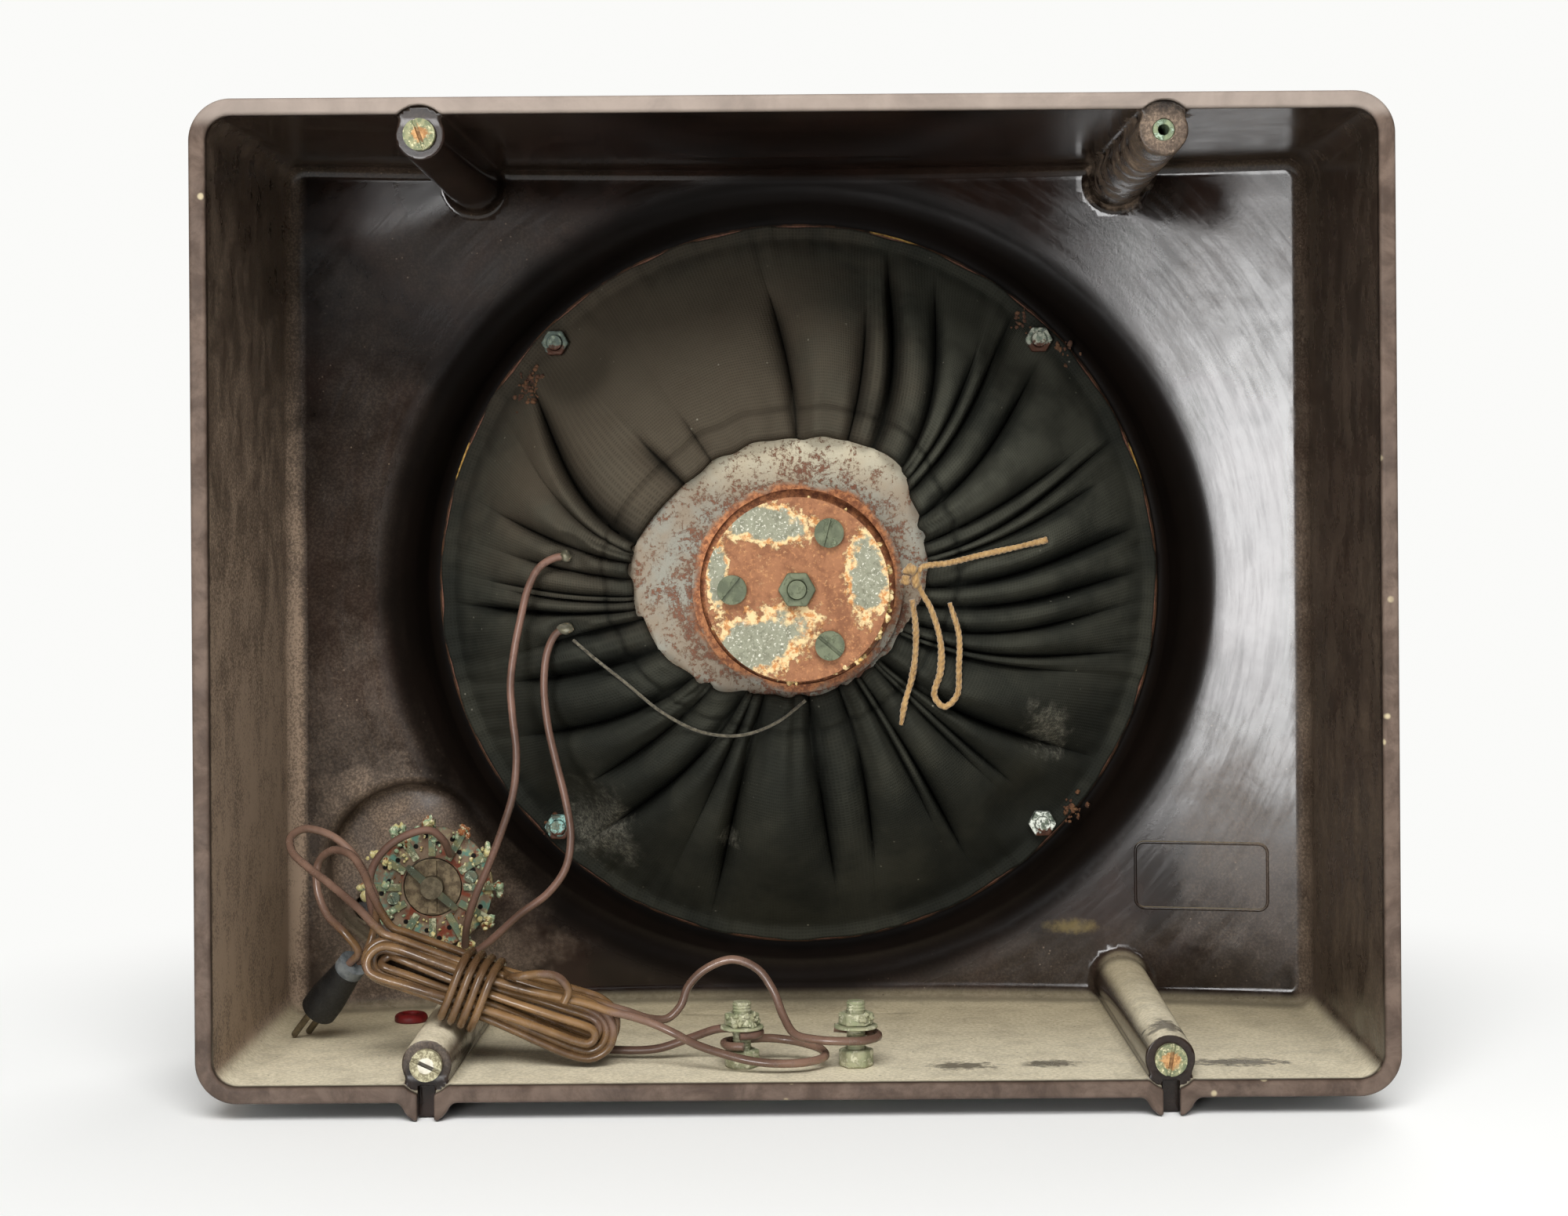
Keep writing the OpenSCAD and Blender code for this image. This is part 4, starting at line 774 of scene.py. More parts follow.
def panelDepth(x):  # the inside of the bowed panel
    return shell["bowCentre"] + math.sqrt(shell["bowRadius"] ** 2 - x * x)


# Grid of the skin, finer at edges and bosses: across, in and up
skinSpans = (((-151, -139, 0.75), (-139, -101, 1.3), (-101, -84, 0.8), (-84, 84, 1.8), (84, 101, 0.8),
              (101, 139, 1.3), (139, 151, 0.75)),
             ((-1, 7, 0.55), (7, 94, 2.4), (94, 128, 0.9)),
             ((-1, 20, 0.75), (20, 238, 1.8), (238, 256, 0.75)))


def makeCabinet():
    cabinet = rawMesh("mouldedCabinet", *skin(cabinetField, *(ticks(*spans) for spans in skinSpans)))
    dress(cabinet, mouldingFinish())
    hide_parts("cabinet")
    print("cabinet moulded:", len(cabinet.data.polygons), "faces")


# Dust on what faces up, a film on the walls, and bare gloss round the dish
# Each film: across, depth, height, size each way and share; the last one is a painted reflection on the upper right
# boss's face. Each smudge: across, depth, height, size each way
mouldingLook = {"dark": (24, 17, 13), "warm": (39, 27, 22), "rim": (108, 92, 81), "rimDark": (78, 64, 55),
                "rimTopHighlight": (150, 137, 127), "dish": (11, 8, 6), "hole": (4, 3, 3), "grit": (74, 62, 46),
                "chip": (186, 172, 140), "dust": (243, 232, 205), "dustDark": (214, 203, 174),
                "deepShade": (0.82, 0.8, 0.76), "filmAndSheen": (160, 139, 119), "rub": (172, 150, 84),
                "filmsAndSheen": [(-128, 108, 70, 26, 60, 0.16), (-128, 108, 150, 24, 80, 0.07),
                          (-96, 108, 226, 44, 16, 0.05), (128, 108, 215, 24, 34, 0.05),
                          (60, 112, 18, 90, 14, 0.05), (128, 108, 50, 24, 40, 0.13),
                          (-112, 110, 48.5, 33, 33, 0.5), (-110, 108, 22, 40, 14, 0.4),
                          (92.7, 3, 245.3, 8, 8, 0.8)],
                "smudges": [(42, 20, 10, 9, 5), (64, 22, 10, 8, 4.5), (112, 22, 10, 14, 5), (93, 14, 20, 6, 7)],
                "rubbed": (79, 113, 29.3, 10, 2.4)}


def mouldingFinish():
    f = Finish("brownMoulding")
    times, plus, most, ramp = f.times, f.plus, f.most, f.ramp
    look = mouldingLook
    x, y, z = (f.axis(a) for a in "XYZ")
    facing = f.add("ShaderNodeSeparateXYZ")
    f.feed(facing, 0, f.add("ShaderNodeNewGeometry").outputs["Normal"])
    cloud, fine = f.noise(15, 5, 0.65, 0.5), f.noise(1.1, 4, 0.7)
    streak = f.noise(5, 4, 0.65, 0.3, f.squeeze(1, 0.5, 0.2))
    colour = f.tones(look["dark"], look["warm"], 0.36, 0.68, 26, 4, 0.6, 0.6)

    def behind(low, high):  # 1 nearer the rear than these depths
        return ramp(y, rearY + low * mm, rearY + high * mm, 1, 0)

    def beyond(low, high):  # 1 deeper in than these depths
        return ramp(y, rearY + low * mm, rearY + high * mm)

    # Where the skin is inside the cabinet
    width = f.sum("ABSOLUTE", x)
    bow = f.hypot(x, f.sum("SUBTRACT", y, rearY + shell["bowCentre"] * mm))
    inPanel = ramp(bow, (shell["bowRadius"] + 1.6) * mm, (shell["bowRadius"] + 2.6) * mm, 1, 0)
    px, pz, pr, floor = shell["smallDish"]
    inDish = times(f.near((px, floor, pz), (pr + 2, pr + 2), 0, 0, 0.97, 1.03), behind(floor + 1.5, floor + 2.5))
    inside = times(ramp(width, 0.1475, 0.1465, 0, 1), ramp(z, 0.2515, 0.2525, 1, 0), beyond(1.2, 4),
                   most(inPanel, inDish))
    leftWall = times(ramp(x, -0.1395, -0.144), ramp(z, 0.25, 0.04, 0.26, 1.3))
    rightWall = times(ramp(x, 0.1395, 0.144), ramp(z, 0.25, 0.03, 0.17, 0.26))
    topWall = times(ramp(z, 0.246, 0.249), ramp(width, 0.03, 0.14, 0.01, 0.11))
    onWall = ramp(width, 0.137, 0.143)
    filmAndSheen = most(leftWall, rightWall, topWall)
    # Dust films on the walls; the last entry is a painted reflection on the upper right boss's face
    for px, depth, pz, sx, sz, share in look["filmsAndSheen"]:
        filmAndSheen = most(filmAndSheen, times(f.near((px, depth, pz), (sx, sz), 0, 0.4, 0.4, 1.25), share))
    streaky = plus(1.0, times(ramp(streak, 0.3, 0.7, -0.3, 0.25), onWall))
    filmAndSheen = times(filmAndSheen, ramp(cloud, 0.3, 0.7, 0.6, 1.3), streaky, inside)
    specks = times(ramp(f.cells(2.4), 0.05, 0.14, 1, 0), f.blots(0.45, 0.62, 18, 3), ramp(filmAndSheen, 0.01, 0.06), 0.4)
    grit = times(ramp(f.noise(0.7, 3, 0.7), 0.4, 0.66, 0.55, 1.4), filmAndSheen)
    colour = f.mix(f.sum("MINIMUM", plus(grit, specks), 1.0), colour, rgb(*look["filmAndSheen"]))

    # Dust that has settled on the floor, the bosses and the lower edge of the panel
    settled = times(ramp(facing.outputs["Z"], 0.3, 0.85), inside, ramp(f.noise(10, 5, 0.65), 0.25, 0.6, 0.78, 1),
                    ramp(bow, (shell["bowRadius"] - 13) * mm, (shell["bowRadius"] - 1) * mm, 1, 0.3))
    for px, depth, pz, sx, sy in look["smudges"]:
        away = f.away((px, depth, pz), (1 / (sx * mm), 1 / (sy * mm), 20))
        ragged = plus(away, ramp(f.noise(3, 5, 0.7), 0.25, 0.75, -0.5, 0.5))
        settled = times(settled, ramp(ragged, 0.5, 1.1, 0.3, 1))
    powder = f.mix(ramp(fine, 0.35, 0.65), rgb(*look["dust"]), rgb(*look["dustDark"]))
    # Painted shade: the dust is painted dimmer deeper in, away from the open back
    shade = f.add("ShaderNodeMix", data_type="RGBA", blend_type="MULTIPLY")  # dimmer deep in
    f.feed(shade, 0, beyond(12, 100))
    f.feed(shade, 6, powder)
    f.feed(shade, 7, (*[c ** 2.2 for c in look["deepShade"]], 1.0))
    dirt = times(ramp(f.cells(3.2), 0.05, 0.13, 1, 0), f.blots(0.48, 0.6, 22, 3), 0.7)
    colour = f.mix(times(settled, 0.95), colour, f.mix(dirt, shade.outputs[2], rgb(*look["grit"])))
    px, depth, pz, sx, sz = look["rubbed"]
    worn = f.near((px, depth, pz), (sx, sz), 0, 0.3, 0.2, 1.1)
    colour = f.mix(times(worn, inside, 0.22), colour, rgb(*look["rub"]))
    # The spare hole's floor is painted near black, as painted shade inside the hole
    hx, hz, hr, _ = shell["spareHole"]
    hole = times(f.near((hx, floor, hz), (hr, hr), 0, 0, 0.98, 1.06), beyond(floor + 0.1, floor + 0.7), inDish)
    colour = f.mix(hole, colour, rgb(*look["hole"]))
    rim = times(behind(0.3, 2.2), ramp(cloud, 0.25, 0.7, 0.7, 1))
    edge = f.tones(look["rimDark"], look["rim"], 0.34, 0.66, 9, 5, 0.7, 0.4)
    chips = times(ramp(f.cells(7), 0.08, 0.16, 1, 0), f.blots(0.5, 0.58, 40, 2))
    edge = f.mix(chips, edge, rgb(*look["chip"]))
    # The rim's top is painted lighter: a painted highlight where the top light catches its rounded edge
    colour = f.mix(rim, colour, f.mix(ramp(z, 0.247, 0.2505), edge, rgb(*look["rimTopHighlight"])))

    # A cloth has been wiped round the dish, so the gloss is broken in faint arcs. The dish's lip is dull, and
    # painted black as shade
    up = f.sum("SUBTRACT", z, midZ * mm)
    out = f.hypot(x, up)
    lip = times(ramp(out, 0.1245, 0.1165), ramp(out, 0.09, 0.1), beyond(90, 98), behind(122.5, 123.5))
    colour = f.mix(times(lip, 0.9), colour, rgb(*look["dish"]))
    arcs = f.add("ShaderNodeCombineXYZ")
    f.feed(arcs, 0, out)
    f.feed(arcs, 1, times(f.sum("ARCTAN2", up, x), 0.012))
    wiped = times(f.blots(0.36, 0.68, 2.6, 5, 0.7, 0.2, arcs.outputs[0]), inside,
                  ramp(f.sum("ABSOLUTE", facing.outputs["Y"]), 0.7, 0.9))
    above = times(ramp(facing.outputs["Z"], 0.7, 0.95), ramp(z, 0.2525, 0.2535))  # the top has gone dull
    dull = plus(times(above, 0.45), most(times(lip, 0.26), times(hole, 0.6)))
    rough = plus(ramp(wiped, 0, 1, 0.08, 0.15), ramp(cloud, 0.3, 0.7, 0, 0.05), ramp(inside, 0, 1, 0.15, 0),
                 most(times(filmAndSheen, 0.9), times(settled, 0.6)), plus(times(rim, 0.5), dull))
    polish = ramp(f.reach((132, 108, 150), (30, 62), 0, 0.3), 0.3, 1.4, 0.53, 0.36)
    unpolished = times(ramp(x, -0.03, -0.005), ramp(x, 0.092, 0.062), ramp(z, 0.208, 0.222), 0.85)
    gloss = times(polish, ramp(most(lip, unpolished, hole, above), 0, 1, 1, 0.16))
    height = plus(times(fine, 0.5), times(settled, 0.8))
    return f.wire(Base_Color=colour, Roughness=f.sum("MINIMUM", rough, 0.9), Specular_IOR_Level=gloss,
                  Normal=f.bump(height, 0.02))


# A bare raised border, low on the right of the panel
borderSetup = {"middle": (115.5, 44.5), "half": (18.5, 9.5), "corner": 2.5, "width": 0.9, "steps": 160}


def makeBorder():
    (mx, mz), (hx, hz), r = borderSetup["middle"], borderSetup["half"], borderSetup["corner"]
    ring = []
    for quarter, (sx, sz) in enumerate(((1, 1), (-1, 1), (-1, -1), (1, -1))):
        for a in np.radians(np.linspace(90 * quarter, 90 * quarter + 90, 9)):
            ring.append((mx + sx * (hx - r) + r * math.cos(a), mz + sz * (hz - r) + r * math.sin(a)))
    line = np.array([(x, panelDepth(x), z) for x, z in [*ring, ring[0]]])
    line = evenly(line, borderSetup["steps"])
    line[:, 1] = [panelDepth(x) for x in line[:, 0]]
    dress(wirePiece("bareBorder", line, borderSetup["width"]), bpy.data.materials["brownMoulding"])


makeCabinet()
makeBorder()


# The dust bag: a strip of black cloth, clamped flat under the flange nuts and gathered round the magnet
bag = {"edge": 104.2, "flat": 100.6, "rimDepth": 117.62, "neckDepth": 80.2, "bulge": 10.5, "columns": 1080,
       "rings": 84, "clamped": 0.05, "hem": 0.86, "taut": 118, "cloth": 0.8, "seed": 11,
       "crease": 3.0, "puff": 6.0, "wave": 0.6, "gather": 0.85, "hemRise": 0.8, "frill": 1.6, "stitch": 1.1,
       "pucker": 0.45, "turnIn": 2.2, "uneven": 0.35, "gap": 0.5}
# Each crease: its angle at the rim and at the neck, its depth in mm, and how far in from the rim it starts
bagCreases = [(-182, -177, 2.0, 0.2), (-181, -175.5, 2.5, 0.3), (-177, -172, 5.0, 0.1), (-166, -169, 2.5, 0.4),
              (-163, -156, 3.5, 0.2), (-153, -139, 4.0, 0.15), (-139, -131, 3.5, 0.25), (-130, -116, 4.5, 0.1),
              (-114, -113, 2.5, 0.4), (-105, -107.5, 6.0, 0.1), (-83, -85, 4.0, 0.15), (-77, -68, 3.5, 0.2),
              (-62, -58, 2.5, 0.3), (-59, -56, 4.5, 0.12), (-46, -46, 2.5, 0.35), (-43, -44, 2.5, 0.2),
              (-31, -43, 6.0, 0.08), (-16, -25, 2.5, 0.25), (-12, -24, 3.5, 0.08), (-3.4, -19, 3.0, 0.1),
              (1.6, -9, 3.5, 0.05), (9, -1, 4.0, 0.05), (19, 10.5, 2.5, 0.15), (24, 12, 3.5, 0.05),
              (26, 19, 3.0, 0.2), (43, 29, 4.0, 0.1), (51, 40, 3.5, 0.05), (55, 44, 3.0, 0.25),
              (66, 48, 3.5, 0.1), (74.5, 61, 6.0, 0.05), (78, 71, 2.0, 0.3), (97, 90, 5.0, 0.22),
              (124, 124, 1.0, 0.65), (135, 137, 2.0, 0.6), (142, 165, 5.5, 0.08), (150, 168, 2.0, 0.4),
              (165, 171.5, 3.0, 0.2), (172, 177, 2.5, 0.3)]
# How far the gathered edge stands from the axis, by angle
bagNeck = [(-170.5, 45.5), (-162, 44.1), (-146, 39.9), (-134, 37.7), (-118, 33.1), (-102, 31), (-80, 30.6),
           (-65, 30.5), (-45, 30.6), (-20, 32), (0, 36), (14, 37.6), (26, 38.3), (36, 39.9), (46.6, 43.8),
           (57.5, 44.7), (71, 43.4), (89, 41.5), (106, 41.9), (119, 42.3), (134, 42.1), (161, 47), (172, 47.5)]
basketNeck, basketTop = (47, 85.3), (91.66, 118.3)  # radius and depth of the steel under the bag


def roundTable(angle, table):  # a table by angle, joined end to end
    keys, values = np.array(table, float).T
    keys = np.concatenate([keys - 360, keys, keys + 360])
    return np.interp(angle, keys, np.tile(values, 3))


# The cloth gives way under what lies on it: room left and how wide each dent is, in mm
bagDents = {"looseThread": (1.0, 6), "drawstring": (1.5, 7), "drawstringTail": (1.5, 7),
            "upperSpeakerLead": (2.0, 8), "lowerSpeakerLead": (2.0, 8)}
tagDent, nutDent, nutFace = (3.2, 11), (0.9, 16), 117.0
nutOut = 70.5  # the flange nuts, across and up from the axis


def pressedDown(x, z, depth):
    under = []
    for name, dent in bagDents.items():
        lead = name.endswith("Lead")
        under += [(point, *dent) for point in route(cordRoutes[name], 2.5 if lead else 2.0)]
        if lead:
            under.append((cordRoutes[name][0], *tagDent))
    under += [((side * nutOut, nutFace, midZ + up * nutOut), *nutDent) for side in (-1, 1) for up in (-1, 1)]
    for (px, pd, pz), clear, wide in under:
        floor = pd + clear - 14 * ((x - px) ** 2 + (z - pz) ** 2) / wide ** 2
        soft = wide / 12
        pressed = floor + soft * np.logaddexp(0, (depth - floor) / soft)
        depth = np.where(floor > depth - 6 * soft, pressed, depth)
    return depth


def bagSheet():
    draw = np.random.default_rng(bag["seed"])
    rim = np.linspace(-180, 180, bag["columns"], endpoint=False)
    t = np.linspace(0, 1, bag["rings"])[:, None]
    u = np.clip((t - bag["clamped"]) / (1 - bag["clamped"]), 0, 1)
    shift = roundTable(rim, [(a, b - a) for a, b, *_ in bagCreases])
    angle = rim[None, :] + shift[None, :] * (smooth(u) * 0.55 + u * 0.45)
    neck = roundTable(angle[-1], bagNeck)
    kernel = np.hanning(31) / np.hanning(31).sum()
    neck = np.convolve(np.concatenate([neck[-15:], neck, neck[:15]]), kernel, "valid")

    # Sharp creases with rounded cloth between them, and fine gathers towards the neck
    creases = sorted(((a + 180) % 360 - 180, d, s) for a, _, d, s in bagCreases)
    creases = [(creases[-1][0] - 360, *creases[-1][1:]), *creases, (creases[0][0] + 360, *creases[0][1:])]
    marks, depths, starts = np.array(creases).T
    cell = np.searchsorted(marks, rim, side="right") - 1
    span = marks[cell + 1] - marks[cell]
    share = (rim - marks[cell]) / span
    square = 1.35 + span / 14  # wide folds have flatter tops
    arch = (1 - np.abs(2 * share - 1) ** square) ** (1 / square)
    valley = (depths[cell] * (1 - share) + depths[cell + 1] * share) * (1 - arch)
    begin = starts[cell] * (1 - smooth(share)) + starts[cell + 1] * smooth(share)
    atRim = np.exp(-12 * begin)
    puff = np.minimum(span, 22) / 22 * np.sin(math.pi * share) ** 0.8

    def ripple(low, high, count):
        return sum(draw.normal() * np.sin(np.radians(rim) * k + draw.uniform(0, 6.28))
                   for k in draw.integers(low, high, count)) / math.sqrt(count)

    wide, gather, frill, edge = ripple(6, 16, 5), ripple(30, 70, 9), ripple(14, 36, 8), ripple(18, 50, 8)
    taut = 1 - 0.75 * np.exp(-((rim - bag["taut"]) / 22) ** 2)  # the upper left is pulled tight
    grow = 0.22 * atRim + (1 - 0.22 * atRim) * smooth((u - begin) / 0.36)
    fade = 1 - 0.45 * smooth((u - 0.86) / 0.12)
    crown = np.sin(math.pi * u) ** 1.1
    lift = -bag["crease"] * valley * grow * fade + bag["puff"] * puff * taut * crown
    lift = lift + bag["wave"] * wide * crown + bag["gather"] * gather * taut * smooth((u - 0.4) / 0.45)
    hem = smooth((u - bag["hem"]) / 0.03)
    stitch = np.exp(-((u - bag["hem"]) / 0.012) ** 2)
    lift = lift + hem * (bag["hemRise"] + bag["frill"] * frill * smooth((u - 0.9) / 0.1)) - bag["stitch"] * stitch
    pucker = bag["pucker"] * ripple(40, 120, 10) * np.exp(-u * 9)

    edgeR = bag["edge"] + bag["uneven"] * edge
    radius = edgeR + (bag["flat"] - edgeR) * np.minimum(t / bag["clamped"], 1)
    radius = radius + (neck + 0.5 * frill - bag["flat"]) * u
    tight = 1 - 0.3 * np.exp(-((rim - bag["taut"]) / 28) ** 2)
    depth = bag["rimDepth"] + (bag["neckDepth"] - bag["rimDepth"]) * u
    depth = depth - bag["bulge"] * tight * crown - lift * smooth(u / 0.06) - pucker
    depth = depth + bag["turnIn"] * smooth((u - 0.965) / 0.035) ** 2
    (neckR, neckD), (topR, topD) = basketNeck, basketTop
    steel = neckD + np.clip((radius - neckR) / (topR - neckR), 0, 1) * (topD - neckD)
    room = (steel - bag["gap"] - depth) / bag["gap"]  # pressed softly on to the steel where it would go through it
    depth = steel - bag["gap"] - bag["gap"] * np.logaddexp(0, room)
    a = np.radians(angle)
    depth = pressedDown(radius * np.cos(a), midZ + radius * np.sin(a), depth)
    depth = np.minimum(depth, np.minimum(bag["rimDepth"] + 0.05, steel - 0.45))
    points = np.stack([radius * np.cos(a), depth, midZ + radius * np.sin(a)], -1)
    # Painted shading for the cloth's colour: darker in the creases, at the stitch line and on the flat band at the
    # rim
    shade = 1 - (1 - arch) * smooth((u - begin + 0.2 * atRim) / 0.25) * (0.5 + 0.5 * np.minimum(1, valley / 1.6))
    return points, shade * (1 - 0.16 * stitch) * (0.82 + 0.18 * smooth(u / 0.12))


# Black cloth, browned at the upper left, with lint, painted shade in its creases and a painted highlight on its
# ridges. Each lint patch: its middle and its size
clothLook = {"dark": (34, 35, 31), "light": (50, 50, 43), "ridgeHighlight": (70, 70, 61), "brown": (80, 71, 59),
             "between": (16, 17, 14), "crease": (9, 10, 8), "lint": (168, 164, 148), "thread": 0.5,
             "patches": [((-57.5, 112, 60), (9, 13)), ((71, 112, 88), (6, 8)), ((-20, 105, 58), (2.5, 3))]}


def clothFinish():
    look = clothLook
    f = Finish("blackBagCloth", Specular_IOR_Level=0.06)
    layer = f.add("ShaderNodeUVMap", uv_map="weave").outputs[0]
    ways = [f.squeeze(1, 1, 1, (0, 0, turn), layer) for turn in (0, 90)]
    weave = f.most(*(f.stripes(way, look["thread"], 0.6, 1.0) for way in ways))
    slub = f.noise(2.2, 4, 0.65)
    brown = f.near((-40, 100, 188), (66, 52), 25, 0.35, 0.35, 1.35)
    foldShading = f.add("ShaderNodeAttribute", attribute_name="foldShading").outputs["Fac"]
    colour = f.tones(look["dark"], look["light"], 0.38, 0.68, 30, 4, 0.6)
    # Painted highlight on the ridge tops, stronger higher up
    ridgeHighlight = f.times(f.ramp(foldShading, 0.8, 1.0), f.ramp(f.noise(14, 4, 0.6), 0.3, 0.62, 0.2, 0.75),
                    f.ramp(f.axis("Z"), 0.08, 0.17, 0.15, 1.0))
    colour = f.mix(ridgeHighlight, colour, rgb(*look["ridgeHighlight"]))
    colour = f.mix(f.times(brown, 0.75), colour, rgb(*look["brown"]))
    colour = f.mix(f.times(f.ramp(weave, 0.2, 0.9, 1, 0), 0.22), colour, rgb(*look["between"]))
    # Painted shade in the creases
    colour = f.mix(f.ramp(foldShading, 0.25, 0.95, 0.85, 0.0), colour, rgb(*look["crease"]))
    lint = f.times(f.ramp(f.cells(5.5), 0.0, 0.075, 1, 0), f.blots(0.46, 0.6, 34, 2))
    for centre, size in look["patches"]:
        dust = f.near(centre, size, 20, 0.6, 0.3, 1.3)
        lint = f.most(lint, f.times(dust, f.ramp(f.noise(1.1, 5, 0.8), 0.38, 0.72, 0.08, 0.7)))
    colour = f.mix(f.times(lint, 0.6), colour, rgb(*look["lint"]))
    height = f.plus(f.times(weave, 0.6), f.times(slub, 0.6))
    return f.wire(Base_Color=colour, Roughness=f.ramp(slub, 0.3, 0.7, 0.8, 0.95), Normal=f.bump(height, 0.16))


def makeBag():
    points, shade = bagSheet()
    laid = bag["laid"] = points.reshape(-1, 3)
    columns = bag["columns"]
    faces = gridFaces(bag["rings"], columns)
    sheet = rawMesh("dustBagCloth", laid, faces)
    # painted shade and highlight of the folds, kept on the cloth for its material
    foldShading = sheet.data.attributes.new("foldShading", "FLOAT", "POINT")  # how far the cloth stands out of its creases
    foldShading.data.foreach_set("value", shade.astype(np.float32).ravel())
    layer = sheet.data.uv_layers.new(name="weave")
    rise = np.abs(np.diff(points[..., 1].mean(1)))
    inward = np.abs(np.diff(np.hypot(points[:, 0, 0], points[:, 0, 2] - midZ)))
    slant = np.concatenate([[0], np.cumsum(rise + inward)])
    row, column = np.divmod(faces.ravel(), columns)
    wrapped = np.where((column == 0) & (np.arange(faces.size) % 4 % 3 != 0), columns, column)
    strip = 2 * math.pi * bag["edge"]
    around = wrapped / columns * strip * mm
    layer.data.foreach_set("uv", np.stack([around, slant[row] * mm], 1).ravel())
    thick = sheet.modifiers.new("clothThickness", "SOLIDIFY")
    thick.thickness = bag["cloth"] * mm
    thick.offset = 0
    dress(sheet, clothFinish())
    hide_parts("dust_bag", "bag_rim")
    quad = laid[faces]
    area = float(np.linalg.norm(np.cross(quad[:, 2] - quad[:, 0], quad[:, 3] - quad[:, 1]), axis=1).sum() / 2)
    print("bag gathered:", len(faces), "faces,", round(area / 100), "square cm")


def onBag(x, z):  # depth of the laid cloth at a place
    laid = bag["laid"]
    return float(laid[np.argmin((laid[:, 0] - x) ** 2 + (laid[:, 2] - z) ** 2), 1])


makeBag()


# Width of the rounded edges on the CAD pieces, in mm
edgeWidths = {"magnet_pot": 1.1, "pole_plate": 0.5, "core_nut": 0.45, "pot_screws": 0.45, "speaker_nuts": 0.4,
              "cover_screws": 0.45, "solder_tags": 0.15, "core_bolt": 0.5, "cover_inserts": 0.25,
              "speaker_bolts": 0.35, "switch_contacts": 0.15, "switch_shaft": 0.3, "switch_ties": 0.3,
              "switch_nut": 0.4, "knob": 0.5, "dial_plate": 0.12, "switch_wafer": 0.15, "switch_rotor": 0.15,
              "terminal_lower_nuts": 0.7, "terminal_nut_left": 0.6, "terminal_nut_right": 0.6,
              "terminal_washers": 0.3, "terminal_studs": 0.4, "plug_body": 0.7, "plug_pins": 0.25,
              "cable_grommet": 0.4}
sharpFrom = 32  # degrees between two faces
weldWithin = 0.00001


def softEdges():  # by modifiers, so that each mesh is kept
    for name, width in edgeWidths.items():
        piece = cadNodes[name]
        weld = piece.modifiers.new("oneSkin", "WELD")
        weld.merge_threshold = weldWithin
        edge = piece.modifiers.new("softEdges", "BEVEL")
        edge.width = width * mm
        edge.segments = 2
        edge.limit_method = "ANGLE"
        edge.angle_limit = math.radians(sharpFrom)
        even = piece.modifiers.new("evenLight", "WEIGHTED_NORMAL")
        even.keep_sharp = False


def lump(centre, size, draw, rows=9, columns=12):  # a small uneven crumb of crust
    lat = np.linspace(0, math.pi, rows)[:, None]
    lon = np.linspace(0, 2 * math.pi, columns, endpoint=False)[None, :]
    way = np.stack([np.sin(lat) * np.cos(lon), np.sin(lat) * np.sin(lon), np.cos(lat) * np.ones_like(lon)], -1)
    swell = 1 + sum(0.16 * draw.normal() * np.sin((way @ draw.normal(0, 2.2, 3)) + draw.uniform(0, 6))
                    for _ in range(5))
    points = np.array(centre) + (way * swell[..., None] * np.array(size)).reshape(-1, 3)
    return points, gridFaces(rows, columns)


def lumpsPiece(name, lumps, finish, body="root"):
    points, faces, start = [], [], 0
    for p, f in lumps:
        points.append(p)
        faces.append(f + start)
        start += len(p)
    piece = rawMesh(name, np.vstack(points), np.vstack(faces))
    weld = piece.modifiers.new("closedEnds", "WELD")
    weld.merge_threshold = weldWithin
    return dress(piece, finish, body)


def corroded(name, clean, stain, bloom, start, size, metal, rough):  # metal going to powder
    f = Finish(name)
    spread = f.noise(size, 5, 0.65, 0.4)
    fine = f.noise(size * 0.22, 4, 0.7)
    powder = f.ramp(f.plus(f.times(spread, 0.7), f.times(fine, 0.3)), start, start + 0.08)
    colour = f.mix(powder, f.tones(clean, stain, 0.38, 0.62, size * 1.7, 3), rgb(*bloom))
    height = f.plus(f.times(powder, 0.8), f.times(fine, 0.5))
    return f.wire(Base_Color=colour, Metallic=f.ramp(powder, 0, 1, metal, 0.0),
                  Roughness=f.ramp(powder, 0, 1, rough, 0.9), Normal=f.bump(height, 0.14))


def patchesOn(f, patches):  # ragged patches, and the wider rings round them
    inner, outer = 0.0, 0.0
    for centre, size, turn in patches:
        reach = f.reach(centre, size, turn, 0.32)
        inner = f.most(inner, f.ramp(reach, 0.78, 0.98, 1, 0))
        outer = f.most(outer, f.ramp(reach, 1.0, 1.5, 1, 0))
    return inner, outer


# The magnet pot: rust, with bare zinc patches fringed in pale crust
potLook = {"rust": (148, 103, 74), "darkRust": (122, 82, 59), "zinc": (128, 128, 109), "fringe": (212, 186, 140),
           "patches": [((-9.3, 60, midZ + 18.4), (12.5, 5), -8), ((19.3, 60, midZ + 3.4), (5.2, 10.5), 4),
                       ((-11.5, 60, midZ - 15.1), (15, 7.8), 25), ((-21.5, 60, midZ + 4), (2.6, 9), 0)]}


